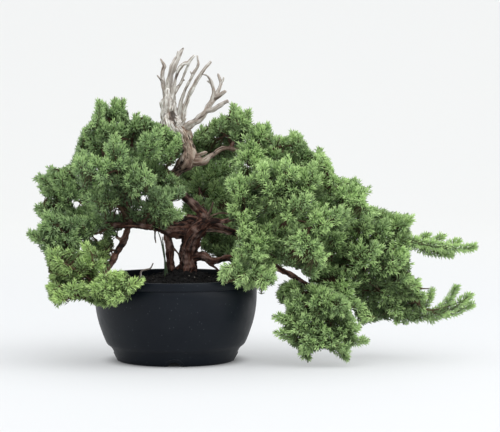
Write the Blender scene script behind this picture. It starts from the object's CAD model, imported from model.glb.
"""Looks of a juniper bonsai in its training pot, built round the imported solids.

The frame is the solids' own: +X is the viewer's right, +Y is away from the viewer, +Z is up and
the origin is the middle of the pot's foot. The tables are in millimetres.
"""

import sys

import logging
import math
import random
from collections.abc import Iterator
from dataclasses import dataclass, field
from enum import Enum
from functools import lru_cache

import bmesh
import bpy
import numpy as np
from bmesh.types import BMesh, BMFace, BMVert
from bpy.types import Material, Mesh, Node, NodeSocket, NodeTree, Object
from mathutils import Matrix, Vector, noise
from mathutils.bvhtree import BVHTree
from mathutils.kdtree import KDTree


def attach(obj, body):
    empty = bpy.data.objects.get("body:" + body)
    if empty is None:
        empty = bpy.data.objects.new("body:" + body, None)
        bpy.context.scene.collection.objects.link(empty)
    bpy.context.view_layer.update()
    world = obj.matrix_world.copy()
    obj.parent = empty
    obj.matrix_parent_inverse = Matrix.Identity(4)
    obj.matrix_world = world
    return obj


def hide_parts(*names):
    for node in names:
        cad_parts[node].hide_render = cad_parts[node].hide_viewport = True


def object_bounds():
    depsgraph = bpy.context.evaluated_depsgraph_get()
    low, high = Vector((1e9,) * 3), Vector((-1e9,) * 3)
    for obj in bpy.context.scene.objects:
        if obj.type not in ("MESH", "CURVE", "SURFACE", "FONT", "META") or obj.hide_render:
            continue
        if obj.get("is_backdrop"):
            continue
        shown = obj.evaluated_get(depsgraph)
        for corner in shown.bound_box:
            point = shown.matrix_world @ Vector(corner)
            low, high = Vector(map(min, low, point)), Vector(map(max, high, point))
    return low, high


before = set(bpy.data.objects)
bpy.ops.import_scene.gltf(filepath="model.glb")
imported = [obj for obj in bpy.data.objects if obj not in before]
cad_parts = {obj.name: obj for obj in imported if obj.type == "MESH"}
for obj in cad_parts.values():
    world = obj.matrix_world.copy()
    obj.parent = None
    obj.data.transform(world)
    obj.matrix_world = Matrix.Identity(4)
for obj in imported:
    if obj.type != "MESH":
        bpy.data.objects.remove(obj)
CAD_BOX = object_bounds()
LOG = logging.getLogger("bonsai")
MM = 0.001
VIEW_PLACE = Vector((91.4, -3200, 405)) * MM  # where the viewer's eye is
VIEW_PITCH = math.radians(4.06)
VIEW_LENS = 187.78
SEED = 7
GOLDEN_ANGLE = math.radians(137.5)  # the turn from one side twig to the next

LIVE_LIMBS = {
    "trunk": [
        (13, 4, 82, 15.5), (13, 3, 104, 14.0), (15, 3, 116, 11.6), (15, 2, 130, 10.4),
        (16, 1, 141, 11.0), (19, -2, 151, 11.2), (26, -6, 161, 10.6), (36, -8, 169, 9.2),
    ],
    "leader": [
        (35, -8, 166, 7.0), (35, -5, 178, 5.8), (26, 1, 188, 5.0), (15, 6, 197, 4.8),
        (7, 8, 205, 4.6), (-1, 8, 213, 4.9), (-5, 6, 221, 5.4), (-2, 4, 229, 6.0),
        (5, 2, 236, 7.5), (11, 0, 241, 9.2), (15, 0, 247, 9.8), (16, 2, 255, 9.2),
        (15, 4, 262, 8.8), (12, 5, 270, 9.6), (8, 6, 278, 11.4), (3, 7, 284, 11.0),
    ],
    "second stem": [
        (-7, -2, 86, 5.2), (-7, -2, 106, 5.2), (-7, -2, 116, 4.8), (-7, -3, 128, 4.4),
        (-7, -4, 139, 4.2), (-9, -5, 149, 4.4), (-10, -7, 158, 4.6),
    ],
    "left limb": [
        (22, -2, 160, 8.6), (8, -4, 160, 9.4), (-5, -7, 161, 8.2), (-17, -10, 164, 6.2),
        (-31, -12, 167, 4.5), (-48, -12, 168, 4.2), (-63, -8, 167, 3.7), (-76, -4, 167, 3.1),
        (-98, 0, 170, 2.6), (-120, 4, 180, 2.1), (-140, 6, 189, 1.6),
    ],
    "crossing limb": [
        (33, -6, 171, 4.8), (20, 0, 175, 4.6), (8, 2, 173, 4.4), (-3, 2, 169, 4.0),
        (-13, 0, 165, 3.0),
    ],
    "falling limb": [
        (-57, -9, 167, 3.2), (-61, -12, 154, 4.0), (-65, -16, 145, 4.2), (-72, -24, 135, 3.8),
        (-77, -34, 124, 3.7), (-84, -47, 115, 3.3), (-93, -60, 109, 2.9), (-105, -72, 102, 2.4),
        (-115, -78, 97, 1.8),
    ],
    "low right limb": [
        (14, 3, 127, 6.6), (28, -4, 128, 6.0), (35, -6, 128, 5.8), (43, -8, 124, 4.8),
        (53, -10, 124, 4.2), (65, -12, 127, 3.7), (80, -14, 128, 3.1), (99, -16, 126, 3.2),
        (117, -18, 120, 3.4), (135, -20, 110, 3.4), (152, -26, 102, 2.9), (168, -36, 90, 2.5),
        (176, -48, 75, 2.1), (177, -57, 58, 1.6),
    ],
    "right limb": [
        (36, -8, 166, 6.1), (46, -5, 165, 4.8), (58, 0, 162, 4.3), (77, 4, 155, 4.1),
        (99, 5, 144, 4.2), (121, 3, 134, 4.7), (140, -1, 126, 5.2), (158, -6, 119, 5.2),
        (177, -10, 113, 4.4), (203, -10, 110, 3.6), (232, -8, 103, 2.8), (263, -4, 94, 2.1),
        (288, 0, 86, 1.5),
    ],
    "front right limb": [
        (38, -9, 171, 4.4), (50, -13, 173, 3.4), (61, -17, 173, 2.9), (77, -25, 180, 2.6),
        (99, -35, 188, 2.3), (123, -45, 193, 2.0), (142, -50, 200, 1.5),
    ],
    "upper right limb": [
        (17, 0, 246, 6.4), (27, -3, 245, 5.2), (36, -5, 246, 4.2), (42, -6, 251, 3.3),
        (50, -5, 257, 2.9),
        (58, -3, 261, 2.8), (67, 0, 261, 2.7), (77, 4, 258, 2.6), (91, 9, 256, 2.6),
        (112, 14, 256, 2.5), (137, 18, 248, 2.4), (163, 20, 236, 2.2), (190, 18, 221, 1.9),
        (215, 14, 210, 1.5),
    ],
    "upper left limb": [
        (-4, 5, 224, 4.0), (-18, 10, 232, 3.3), (-35, 11, 240, 2.9), (-53, 8, 253, 2.5),
        (-67, 5, 271, 2.0), (-77, 2, 291, 1.5),
    ],
    "front left limb": [
        (-34, 11, 239, 2.4), (-44, -18, 234, 2.2), (-60, -44, 228, 1.9), (-76, -60, 224, 1.5),
    ],
    "back left limb": [(-34, 11, 239, 2.4), (-44, 40, 244, 2.1), (-60, 68, 254, 1.5)],
    "far left limb": [
        (-53, 8, 253, 2.2), (-80, 8, 244, 2.0), (-107, 11, 238, 1.8), (-133, 10, 230, 1.4),
    ],
    "rising shoot": [
        (-55, -10, 167, 2.6), (-55, -12, 182, 2.0), (-60, -25, 199, 1.8), (-67, -40, 211, 1.5),
    ],
    "back low left limb": [(-78, -4, 167, 2.3), (-95, 25, 176, 2.0), (-114, 50, 184, 1.5)],
    "front low left limb": [(-99, 0, 170, 2.2), (-116, -24, 172, 1.9), (-134, -43, 174, 1.5)],
    "back limb": [(36, -6, 169, 3.9), (34, 28, 180, 3.1), (30, 50, 194, 2.4), (28, 62, 209, 1.6)],
    "back right limb": [
        (91, 5, 148, 3.2), (108, 35, 150, 2.6), (133, 62, 153, 2.1), (162, 84, 153, 1.5),
    ],
    "mid front limb": [
        (91, 5, 148, 3.0), (108, -22, 159, 2.5), (129, -42, 165, 2.1), (150, -58, 164, 1.5),
    ],
    "rim shoot": [(65, -12, 127, 2.4), (73, -38, 122, 2.0), (83, -62, 118, 1.5)],
    "top right shoot": [(67, 0, 260, 2.2), (73, 6, 274, 1.9), (74, 8, 288, 1.5)],
    "far back limb": [(137, 18, 248, 2.1), (155, 48, 244, 1.9), (179, 76, 232, 1.5)],
    "far front limb": [(163, 20, 236, 2.0), (179, -10, 223, 1.8), (197, -34, 206, 1.5)],
    "far right limb": [
        (177, -10, 113, 3.2), (199, 0, 126, 2.7), (224, 4, 138, 2.2), (249, 4, 145, 1.9),
        (269, 2, 151, 1.5),
    ],
    "root strand": [(-5, -5, 141, 1.5), (1, -7, 135, 1.2), (4, -6, 131, 1.2), (8, -3, 126, 1.4)],
    "aerial root": [
        (38, -7, 126, 2.0), (42, -9, 119, 1.6), (49, -12, 115, 1.5), (55, -14, 109, 1.3),
        (58, -15, 101, 1.2), (59, -15, 95, 1.1),
    ],
    "broken stub": [(26, -1, 251, 2.8), (33, -7, 255, 2.2), (39, -9, 257, 1.6)],
    "knot stub": [(34, -10, 162, 2.8), (49, -15, 161, 2.0), (60, -19, 159, 1.8), (69, -22, 157, 1.4)],
    "arched twig": [(38, -11, 174, 1.6), (46, -15, 180, 1.3), (57, -18, 183, 1.2), (68, -20, 181, 1.0)],
    "rising twig": [(37, -8, 174, 2.0), (44, -9, 187, 1.5), (46, -9, 197, 1.0)],
    "falling stub": [(-63, -14, 150, 2.0), (-69, -15, 151, 1.6), (-73, -16, 153, 1.2)],
    "hanging tuft": [(-25, -13, 162, 1.6), (-25, -15, 153, 1.5), (-24, -15.5, 145, 0.9)],
}

CROWN_STUMP = [
    (9, 6.5, 272, 9.0), (3, 7, 279, 13.2), (-3, 8, 287, 15.4), (-6.5, 8, 295, 14.2),
    (-8, 8, 303, 11.6), (-8.5, 8, 312, 9.2), (-8.7, 8, 321, 7.4), (-9, 8, 333, 4.6),
]

CROWN_PRONGS = {
    "left prong": [
        (-11, 9, 314, 3.6), (-14, 11, 330, 2.7), (-16, 13, 343, 2.6), (-16, 15, 356, 2.5),
        (-14, 16, 362, 2.7), (-17, 17, 367, 1.6), (-19, 18, 371, 1.0),
    ],
    "left fork": [(-16, 12, 341, 1.8), (-19, 10, 346, 1.5), (-23, 9, 351, 1.0)],
    "tall prong": [
        (-9, 8, 314, 4.2), (-9, 8, 335, 3.6), (-6, 7, 349, 3.7), (-3, 6, 360, 3.8),
        (1, 5, 369, 3.5), (5, 4, 377, 2.5), (10, 3, 384.5, 1.2),
    ],
    "tall fork": [(1, 5, 368, 2.2), (2, 6, 375, 1.7), (3, 7, 380.5, 1.0)],
    "middle prong": [
        (-6, 7, 314, 3.8), (-3, 4, 331, 2.9), (0, 1, 345, 2.3), (4, -2, 357, 2.2),
        (10, -4, 365, 2.1), (16, -6, 366, 2.3), (20, -7, 371, 2.0), (24, -8, 375.5, 1.4),
    ],
    "loop prong": [
        (-3, 5, 326, 2.4), (1, 6, 333, 2.3), (6, 7, 340, 1.8), (10, 5, 350, 1.7),
        (14, 0, 359, 1.5), (17, -5, 365.5, 1.4),
    ],
    "loop stub": [(8, 6, 344, 1.3), (11.5, 8, 345, 0.9)],
    "thin prong": [
        (2, 7, 288, 3.7), (5, 4, 306, 2.8), (7, 2, 319, 2.2), (12, -2, 333, 2.0),
        (19, -6, 346, 1.8), (24, -9, 356, 1.8), (28, -12, 364, 1.7), (27, -13, 375, 1.3),
    ],
    "thin stub": [(21, -7, 351, 1.3), (18, -8, 356, 0.9)],
    "right prong": [
        (8, 4, 286, 3.9), (10, 0, 305, 2.9), (14, -4, 319, 2.6), (20, -9, 333, 2.5),
        (27, -14, 345, 2.3), (32, -17, 353, 2.2), (38, -20, 361, 2.0), (44, -22, 368, 1.5),
    ],
    "curled prong": [
        (43, -4, 315, 2.3), (47, -6, 329, 2.1), (45, -8, 339, 2.1), (42, -11, 347, 1.9),
        (38, -14, 351, 1.2), (33, -15.5, 352, 0.9),
    ],
    "curled stub": [(45, -8, 341, 1.5), (41, -8, 343, 1.4), (38.5, -8, 344, 0.9)],
    "long prong": [
        (9, 5, 285, 4.4), (18, -2, 290, 4.6), (28, -5, 297, 4.4), (36, -5, 305, 3.7),
        (43, -4, 316, 3.1), (49, -2, 325, 2.7), (53, 0, 333, 2.3), (56, 2, 341, 2.0),
        (54, 3, 347, 1.6), (52, 4, 353, 1.0),
    ],
    "long fork": [(55, 2, 340, 1.6), (58, 1, 344, 1.3), (59.5, 0, 349, 0.9)],
    "side fork": [(45, -3, 319, 2.9), (53, -4, 325, 2.6), (62, -6, 332, 2.0)],
    "thick stub": [(38, -5, 307, 3.2), (46, -9, 309, 2.9), (55, -12, 315, 2.6), (65, -15, 320, 2.1)],
    "base stub": [(9, 0, 292, 2.0), (13, -4, 298.5, 1.0)],
}

LEAFY_BRANCHES = {
    "left": [
        ((-75, 3, 284), [((-83, 0, 300), (-86, -2, 311)), ((-70, 12, 298), (-74, 15, 311))]),
        ((-56, 7, 256), [((-51, 0, 280), (-42, -4, 299)), ((-77, -20, 275), (-100, -34, 287))]),
        ((-30, 10, 237), [((-33, 2, 269), (-31, 0, 294)), ((-19, -10, 262), (-14, -16, 291))]),
        ((-13, 8, 229), [((-8, -18, 246), (4, -26, 269))]),
        ((-81, 8, 244), [((-96, 22, 263), (-113, 28, 273))]),
        ((-124, 11, 233), [((-134, -6, 232), (-142, -22, 236)), ((-146, 6, 222), (-162, 0, 224))]),
        ((-70, -54, 225), [((-68, -68, 245), (-73, -76, 263)), ((-92, -76, 231), (-109, -84, 239))]),
        ((-45, -20, 233), [((-34, -46, 252), (-27, -62, 272))]),
        ((-67, -38, 210), [((-50, -64, 219), (-34, -80, 227))]),
        ((-46, 42, 244), [((-39, 62, 261), (-30, 76, 276)), ((-36, 66, 232), (-22, 84, 218))]),
        ((-59, 66, 253), [((-76, 84, 267), (-94, 98, 276))]),
        ((-106, 39, 180), [((-126, 62, 194), (-150, 84, 205)), ((-98, 62, 199), (-93, 86, 216))]),
        ((-130, 5, 185), [((-146, 0, 193), (-162, -4, 194)), ((-130, -14, 203), (-137, -26, 219))]),
        ((-128, -37, 173), [
            ((-148, -52, 167), (-167, -52, 162)), ((-132, -46, 154), (-144, -54, 140)),
        ]),
        ((-77, -4, 167), [((-92, -14, 159), (-108, -22, 154))]),
        ((-40, -12, 168), [((-31, -38, 184), (-17, -58, 198)), ((-20, -34, 178), (-5, -52, 180))]),
        ((-56, -14, 186), [((-76, -38, 194), (-94, -56, 199))]),
    ],
    "low_left": [
        ((-112, -76, 98), [((-130, -86, 99), (-147, -86, 101)), ((-119, -94, 92), (-128, -99, 84))]),
        ((-100, -68, 105), [
            ((-120, -82, 120), (-138, -84, 131)), ((-98, -78, 124), (-99, -83, 140)),
            ((-130, -80, 112), (-150, -84, 116)),
        ]),
        ((-93, -60, 109), [((-69, -98, 108), (-39, -118, 111)), ((-83, -98, 100), (-61, -118, 93))]),
        ((-71, -23, 137), [((-88, -6, 137), (-103, 12, 136))]),
    ],
    "right": [
        ((74, 7, 284), [((68, 2, 294), (67, 0, 302)), ((82, 14, 291), (85, 18, 297))]),
        ((71, 4, 270), [((57, 18, 280), (41, 26, 288)), ((50, 22, 272), (37, 36, 281))]),
        ((91, 9, 256), [((101, 0, 269), (108, -4, 279)), ((90, -14, 247), (88, -34, 238))]),
        ((112, 14, 256), [((126, 12, 262), (140, 8, 264))]),
        ((150, 19, 242), [((158, 8, 248), (170, 4, 250)), ((170, 28, 238), (188, 24, 238))]),
        ((200, 16, 216), [((207, 14, 216), (216, 10, 216)), ((220, 8, 206), (232, 0, 201))]),
        ((256, 4, 147), [((258, 10, 163), (264, 14, 178)), ((270, -6, 162), (282, -10, 171))]),
        ((264, 2, 150), [((317, -2, 145), (367, -6, 141)), ((268, -22, 140), (278, -36, 134))]),
        ((177, 74, 233), [((193, 94, 220), (211, 108, 203))]),
        ((155, 48, 244), [((142, 66, 256), (129, 82, 261))]),
        ((148, 73, 153), [((172, 98, 168), (193, 118, 182)), ((132, 84, 172), (114, 100, 191))]),
        ((31, 46, 191), [
            ((28, 66, 204), (25, 80, 220)), ((44, 72, 214), (57, 86, 228)),
            ((50, 66, 196), (62, 80, 200)),
        ]),
        ((134, -48, 197), [
            ((154, -62, 213), (166, -70, 229)), ((116, -58, 211), (106, -66, 228)),
            ((136, -64, 216), (138, -70, 234)),
        ]),
        ((88, -30, 184), [((84, -52, 202), (75, -64, 216)), ((81, -52, 172), (76, -68, 158))]),
        ((193, -29, 210), [((210, -50, 202), (226, -62, 192)), ((184, -42, 234), (179, -48, 249))]),
        ((149, -57, 164), [((171, -74, 171), (192, -84, 181)), ((157, -78, 148), (168, -86, 135))]),
        ((129, -42, 165), [((139, -68, 183), (149, -82, 197))]),
        ((110, -24, 160), [((104, -54, 147), (95, -76, 136))]),
        ((81, -57, 119), [((72, -80, 112), (64, -94, 104)), ((95, -76, 110), (106, -88, 105))]),
        ((79, -14, 128), [((93, 8, 124), (104, 24, 117))]),
        ((215, 3, 133), [((221, -16, 150), (228, -28, 167)), ((238, -14, 152), (250, -22, 158))]),
        ((190, -5, 121), [((192, -20, 137), (190, -36, 148))]),
    ],
    "far_right": [
        ((218, -9, 106), [((222, -30, 124), (236, -46, 138)), ((248, -26, 116), (269, -38, 125))]),
        ((263, -4, 94), [((273, -14, 103), (285, -20, 108))]),
        ((284, 0, 87), [
            ((311, -2, 62), (363, -4, 76)), ((298, -12, 87), (311, -16, 90)),
            ((304, 12, 70), (310, 14, 56)),
        ]),
        ((236, -8, 102), [((261, 0, 77), (278, 2, 56)), ((232, 14, 83), (237, 28, 61))]),
        ((189, -10, 111), [((201, -30, 89), (213, -40, 68))]),
    ],
    "cascade": [
        ((177, -56, 59), [((198, -62, 46), (221, -64, 35)), ((186, -68, 36), (202, -74, 24))]),
        ((176, -51, 70), [((170, -70, 38), (163, -80, 15)), ((158, -66, 50), (147, -72, 34))]),
        ((175, -46, 79), [((154, -58, 70), (135, -62, 62)), ((187, -70, 76), (199, -86, 75))]),
        ((168, -36, 90), [((150, -26, 84), (133, -16, 85))]),
    ],
}

GRASS_BLADES = {
    "grass_blade_left": [
        (-9, -12, 98, 1.6), (-10, -10, 108, 1.5), (-14, -6, 128, 1.3), (-18, -4, 148, 1.0),
        (-22, -3, 160, 0.6),
    ],
    "grass_blade_right": [
        (-12, -19, 98, 1.6), (-12.5, -19, 108, 1.6), (-13, -20, 128, 1.3), (-15, -21, 146, 0.9),
        (-16, -21, 154, 0.6),
    ],
}

SOIL_TWIG = [
    (-43, -8, 93, 1.4), (-43, -8, 104, 1.3), (-42, -8, 110.5, 1.2), (-36, -8, 112.5, 1.1),
    (-31, -8, 114, 1.0), (-27.5, -8, 120.5, 0.8),
]

POT_PROFILE = [  # radius and height, from the axis under the pot round to the axis inside it
    (0, 0), (20, 0), (22, 1), (24, 4), (64.5, 4), (66.6, 0.7), (67.2, 0.1), (70.4, 0.0), (71.4, 0.5),
    (72.6, 2), (74.3, 6), (76.2, 10.5), (78.2, 14.6), (79.9, 16.9), (82.0, 18.7), (84.2, 20.3),
    (85.7, 22.2), (87.2, 25.5), (89.5, 31), (92.2, 38.5), (94.6, 45.5), (96.5, 52.8), (98.0, 60),
    (99.1, 68), (99.7, 76), (99.9, 84), (99.8, 92.4), (99.3, 93.2), (99.3, 94), (100.7, 94.4),
    (101, 95.2), (101, 102.6), (100.6, 103.5), (99.8, 104), (98, 104), (97.1, 103.6), (96.8, 102.4),
    (96.8, 96), (96.5, 88), (95.5, 62), (81.6, 24), (70.5, 7), (0, 7),
]
POT_OUTSIDE = (  # heights, and the outer radius at each
    [0, 2.5, 16, 22, 38, 62, 94, 94.6, 104],
    [70.5, 73.1, 79.5, 86, 92.4, 98, 100, 101, 101],
)
CROWN_KNOTS = (  # dark holes in the dead crown: place, width and depth
    (-3.7, -3.5, 302, 0.8, 1.0), (-19, 3, 298, 1.3, 2.0), (2, -2, 291, 1.0, 1.4),
    (-12, -1, 309, 0.9, 1.2),
)
BARE_LIMBS = {  # how bare of bark some limbs are
    "upper right limb": 0.75, "broken stub": 0.9, "arched twig": 0.5, "rising twig": 0.4,
    "knot stub": 0.35, "falling stub": 0.4, "root strand": 0.25, "hanging tuft": 0.2,
}
BROWN_PRONGS = {  # how brown some of the crown's prongs are
    "left prong": 0.9, "left fork": 0.9, "long prong": 0.7, "thick stub": 0.95, "side fork": 0.8,
    "tall prong": 0.4, "curled prong": 0.3,
}
SHOWN_WOOD = (  # where limbs stay in view: place on the sheet and radius
    (22, 158, 56), (28, 262, 46), (-55, 166, 42), (-85, 120, 34), (140, 108, 20),
)
SLENDER_BRANCHES = (("right", "08"), ("far_right", "03"))
FRESH_PATCHES = [  # place, width, and how much fresher or duller the leaves are there
    (120, -50, 205, 36, 0.9), (158, -60, 165, 38, 0.85), (196, -70, 150, 32, 0.75),
    (232, -40, 105, 30, 0.35), (284, -18, 104, 22, 0.35), (-150, 0, 165, 45, -0.35),
    (-154, -20, 212, 22, 0.25), (170, -70, 45, 30, 0.2), (30, 60, 222, 44, -0.55),
    (238, 0, 70, 26, -0.35), (262, -20, 100, 26, 0.3), (262, -20, 100, 32, 0.5),
    (80, 20, 290, 28, -0.5), (143, 0, 264, 24, -0.5), (182, 0, 240, 22, -0.5),
    (214, 0, 212, 22, -0.5), (240, 0, 196, 22, -0.45), (285, 0, 170, 26, -0.4),
    (77, -90, 108, 20, -0.5), (125, -20, 200, 46, 0.7), (165, -25, 160, 50, 0.7),
    (205, -35, 145, 42, 0.6), (255, -30, 98, 42, 0.8), (-105, -40, 95, 36, -0.25),
    (-105, 5, 130, 26, -0.4), (-20, 70, 250, 40, -0.3), (-62, -20, 222, 38, -0.55),
    (60, 0, 190, 22, -0.2),
]

BEHIND_THE_WOOD = [  # on the sheet, where leaves only stand behind the limbs
    [
        (23, 198), (47, 188), (62, 180), (74, 175), (77, 153), (69, 136), (57, 121), (30, 121),
        (20, 148),
    ],
]

LEFT_OUTLINE = [
    (-19, 291), (-24, 295), (-28, 292), (-30, 300), (-33, 298), (-36, 304), (-39, 300),
    (-44, 298), (-48, 303), (-51, 297), (-55, 295), (-60, 301), (-61, 310), (-65, 311),
    (-66, 322), (-71, 317), (-76, 324), (-78, 312), (-80, 311), (-87, 317), (-89, 316),
    (-92, 321), (-94, 314), (-98, 316), (-96, 306), (-101, 305), (-104, 300), (-103, 295),
    (-114, 286), (-124, 261), (-123, 257), (-131, 242), (-137, 237), (-144, 235), (-149, 236),
    (-154, 240), (-156, 233), (-159, 233), (-165, 226), (-172, 224), (-168, 217), (-169, 210),
    (-165, 210), (-167, 203), (-156, 198), (-164, 195), (-166, 190), (-175, 192), (-171, 188),
    (-175, 185), (-169, 174), (-164, 170), (-172, 164), (-170, 159), (-183, 156), (-176, 143),
    (-170, 141), (-166, 134), (-163, 133), (-156, 105), (-156, 98), (-162, 88), (-158, 84),
    (-159, 77), (-154, 70), (-147, 67), (-143, 70), (-138, 69), (-137, 75), (-129, 72),
    (-126, 75), (-121, 72), (-115, 73), (-109, 69), (-87, 63), (-82, 66), (-76, 64), (-71, 69),
    (-64, 70), (-37, 99), (-45, 100), (-60, 98), (-66, 101), (-63, 106), (-67, 110), (-75, 104),
    (-79, 107), (-84, 104), (-90, 105), (-88, 111), (-82, 116), (-79, 125), (-78, 133),
    (-84, 137), (-80, 153), (-75, 152), (-78, 161), (-68, 166), (-56, 168), (-31, 169),
    (-29, 166), (-21, 163), (-15, 167), (-12, 164), (14, 179), (10, 183), (3, 183), (-1, 186),
    (-2, 194), (-1, 201), (10, 205), (17, 211), (14, 219), (-7, 236), (-4, 242), (7, 254),
    (10, 262), (9, 271), (6, 279), (1, 285), (-13, 291),
]

RIGHT_OUTLINE = [
    (21, 278), (28, 283), (30, 289), (34, 292), (37, 287), (48, 300), (51, 296), (59, 305),
    (62, 297), (66, 308), (68, 308), (72, 317), (74, 312), (77, 311), (81, 313), (83, 301),
    (89, 309), (88, 300), (92, 298), (94, 290), (98, 290), (103, 294), (106, 291), (116, 294),
    (120, 276), (129, 278), (132, 274), (142, 278), (145, 283), (148, 276), (152, 282),
    (159, 269), (165, 267), (165, 260), (170, 255), (174, 257), (177, 262), (180, 253),
    (186, 253), (187, 248), (191, 249), (192, 241), (198, 226), (203, 223), (208, 227),
    (210, 221), (217, 225), (219, 222), (222, 228), (225, 220), (233, 212), (242, 215),
    (236, 205), (234, 194), (237, 190), (242, 191), (245, 188), (249, 191), (252, 185),
    (258, 187), (261, 182), (266, 184), (271, 180), (277, 183), (279, 177), (284, 180),
    (288, 178), (296, 180), (291, 169), (290, 161), (290, 153), (295, 148), (294, 138),
    (288, 128), (291, 122), (289, 119), (295, 116), (283, 111), (292, 106), (291, 101),
    (304, 100), (301, 94), (305, 90), (300, 86), (310, 62), (305, 53), (297, 47), (290, 49),
    (276, 47), (261, 50), (251, 48), (245, 49), (239, 44), (232, 42), (229, 48), (223, 52),
    (226, 55), (223, 63), (196, 74), (175, 94), (167, 99), (166, 106), (160, 111), (136, 121),
    (128, 116), (127, 111), (123, 107), (127, 101), (126, 97), (123, 94), (117, 94), (109, 83),
    (101, 88), (96, 88), (88, 83), (84, 90), (75, 87), (72, 95), (64, 98), (59, 92), (55, 98),
    (57, 104), (52, 105), (53, 112), (77, 125), (40, 130), (28, 141), (30, 151), (24, 161),
    (15, 169), (6, 188), (10, 194), (7, 203), (10, 210), (3, 219), (6, 227), (3, 235), (10, 242),
    (14, 255), (21, 263), (18, 270),
]

CASCADE_OUTLINE = [
    (137, 99), (147, 100), (161, 94), (170, 96), (180, 94), (208, 79), (217, 67), (217, 58),
    (224, 46), (217, 43), (229, 40), (221, 34), (225, 22), (221, 16), (214, 13), (217, 8),
    (209, 7), (204, 10), (190, 10), (185, 12), (177, 12), (172, 9), (167, 7), (164, 3), (159, 6),
    (150, 4), (154, 10), (142, 15), (140, 21), (130, 24), (134, 32), (129, 38), (131, 43),
    (126, 52), (127, 55), (138, 60), (132, 68), (128, 68), (122, 78), (126, 90), (133, 95),
]

WINDOWS = {
    "left": [
        [
            (-93, 165), (-89, 159), (-90, 152), (-95, 147), (-102, 147), (-107, 148), (-106, 153),
            (-101, 158), (-96, 159), (-95, 163),
        ],
        [(-122, 142), (-117, 142), (-118, 136), (-121, 131), (-123, 135)],
        [(-137, 125), (-132, 125), (-131, 121), (-136, 121)],
        [
            (-80, 186), (-77, 190), (-68, 190), (-66, 186), (-64, 183), (-71, 182), (-74, 179),
            (-79, 183),
        ],
        [(-55, 185), (-50, 190), (-41, 193), (-42, 185)],
        [(-44, 201), (-40, 210), (-34, 207), (-35, 200), (-40, 196)],
        [(-13, 239), (-9, 247), (-4, 243), (-6, 236), (-10, 235)],
        [(1, 251), (3, 254), (6, 252), (4, 247)],
        [(-107, 238), (-100, 239), (-99, 232), (-105, 230)],
        [(-128, 198), (-121, 200), (-115, 194), (-118, 189), (-126, 190)],
        [(-160, 203), (-154, 205), (-150, 199), (-155, 194)],
    ],
    "right": [
        [(50, 279), (53, 274), (57, 273), (59, 268), (53, 265), (50, 270)],
        [(35, 286), (39, 282), (42, 275), (39, 278), (34, 284)],
        [(71, 271), (79, 270), (85, 273), (91, 273), (90, 268), (83, 269), (77, 265)],
        [(80, 243), (86, 246), (91, 244), (94, 237), (89, 235), (85, 239), (80, 235)],
    ],
    "cascade": [],
}

SPRAYS = {  # thin sprays that stand out past the outlines, on the sheet
    "right": [
        [(278, 147), (312, 142), (347, 137), (373, 140)], [(290, 142), (304, 148), (312, 158)],
        [(307, 141), (321, 147), (331, 156)], [(327, 137), (342, 143), (352, 151)],
        [(300, 138), (325, 132), (344, 129)], [(275, 54), (300, 59), (311, 73), (317, 91)],
        [(280, 52), (312, 55), (333, 69), (348, 93)],
        [(320, 57), (339, 63), (354, 73), (366, 83)],
        [(310, 52), (339, 58), (356, 64), (370, 70)], [(271, 86), (290, 79), (312, 79)],
        [(69, 289), (72, 302), (72, 317)], [(86, 286), (88, 298), (89, 310)],
        [(143, 259), (145, 271), (145, 284)], [(175, 239), (177, 251), (177, 263)],
    ],
    "cascade": [
        [(190, 34), (217, 23), (240, 25)], [(180, 27), (199, 12), (215, 0)],
        [(155, 43), (136, 49), (118, 55)], [(153, 32), (138, 29), (122, 36)],
        [(163, 27), (159, 12), (163, -4)], [(187, 47), (209, 39), (230, 40)],
    ],
    "left": [
        [(-98, 85), (-68, 89), (-38, 98)], [(-110, 91), (-84, 98), (-61, 107)],
        [(-125, 101), (-110, 115), (-102, 129)], [(-134, 86), (-144, 74), (-150, 67)],
        [(-95, 293), (-94, 308), (-93, 322)], [(-78, 298), (-75, 312), (-75, 325)],
        [(-68, 301), (-66, 313), (-66, 324)], [(-142, 210), (-159, 221), (-174, 226)],
        [(-142, 220), (-150, 230), (-155, 240)], [(-156, 143), (-170, 151), (-184, 157)],
        [(-48, 279), (-48, 291), (-48, 305)],
    ],
}


def mesh_from(name: str, bm: BMesh) -> Mesh:
    """Turns a bmesh into a mesh and frees it.

    Args:
        name: The mesh's name.
        bm: Its shape, in place.

    Returns:
        The new mesh.
    """
    mesh = bpy.data.meshes.new(name)
    bm.to_mesh(mesh)
    bm.free()
    return mesh


def solid_from(name: str, bm: BMesh, *materials: Material) -> Object:
    """Makes a scene object at the origin from a bmesh and frees it.

    Args:
        name: The piece's name.
        bm: Its shape, in place.
        materials: Its finishes, in the order of their slots.

    Returns:
        The new object, linked to the scene.
    """
    mesh = mesh_from(name, bm)
    for each in materials:
        mesh.materials.append(each)
    obj = bpy.data.objects.new(name, mesh)
    bpy.context.scene.collection.objects.link(obj)
    return obj


def seat(obj: Object, slot: str, *nodes: str) -> None:
    """Makes a piece ride with the whole object in place of its solids, and reports it.

    Args:
        obj: The finished piece.
        slot: The record's material slot it takes its finish from.
        nodes: The solids it stands for.
    """
    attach(obj, "root")
    if nodes:
        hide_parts(*nodes)
    obj.data.calc_loop_triangles()
    LOG.info("%s: %d triangles", obj.name, len(obj.data.loop_triangles))


# Routes and tubes


@dataclass(frozen=True)
class Station:
    """One cross-section of a limb: where it is, its directions, its radius and its way so far."""

    place: Vector
    along: Vector
    side: Vector
    radius: float
    walked: float = 0.0

    @property
    def up(self) -> Vector:
        """The direction across that is square to the side."""
        return self.along.cross(self.side)


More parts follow.
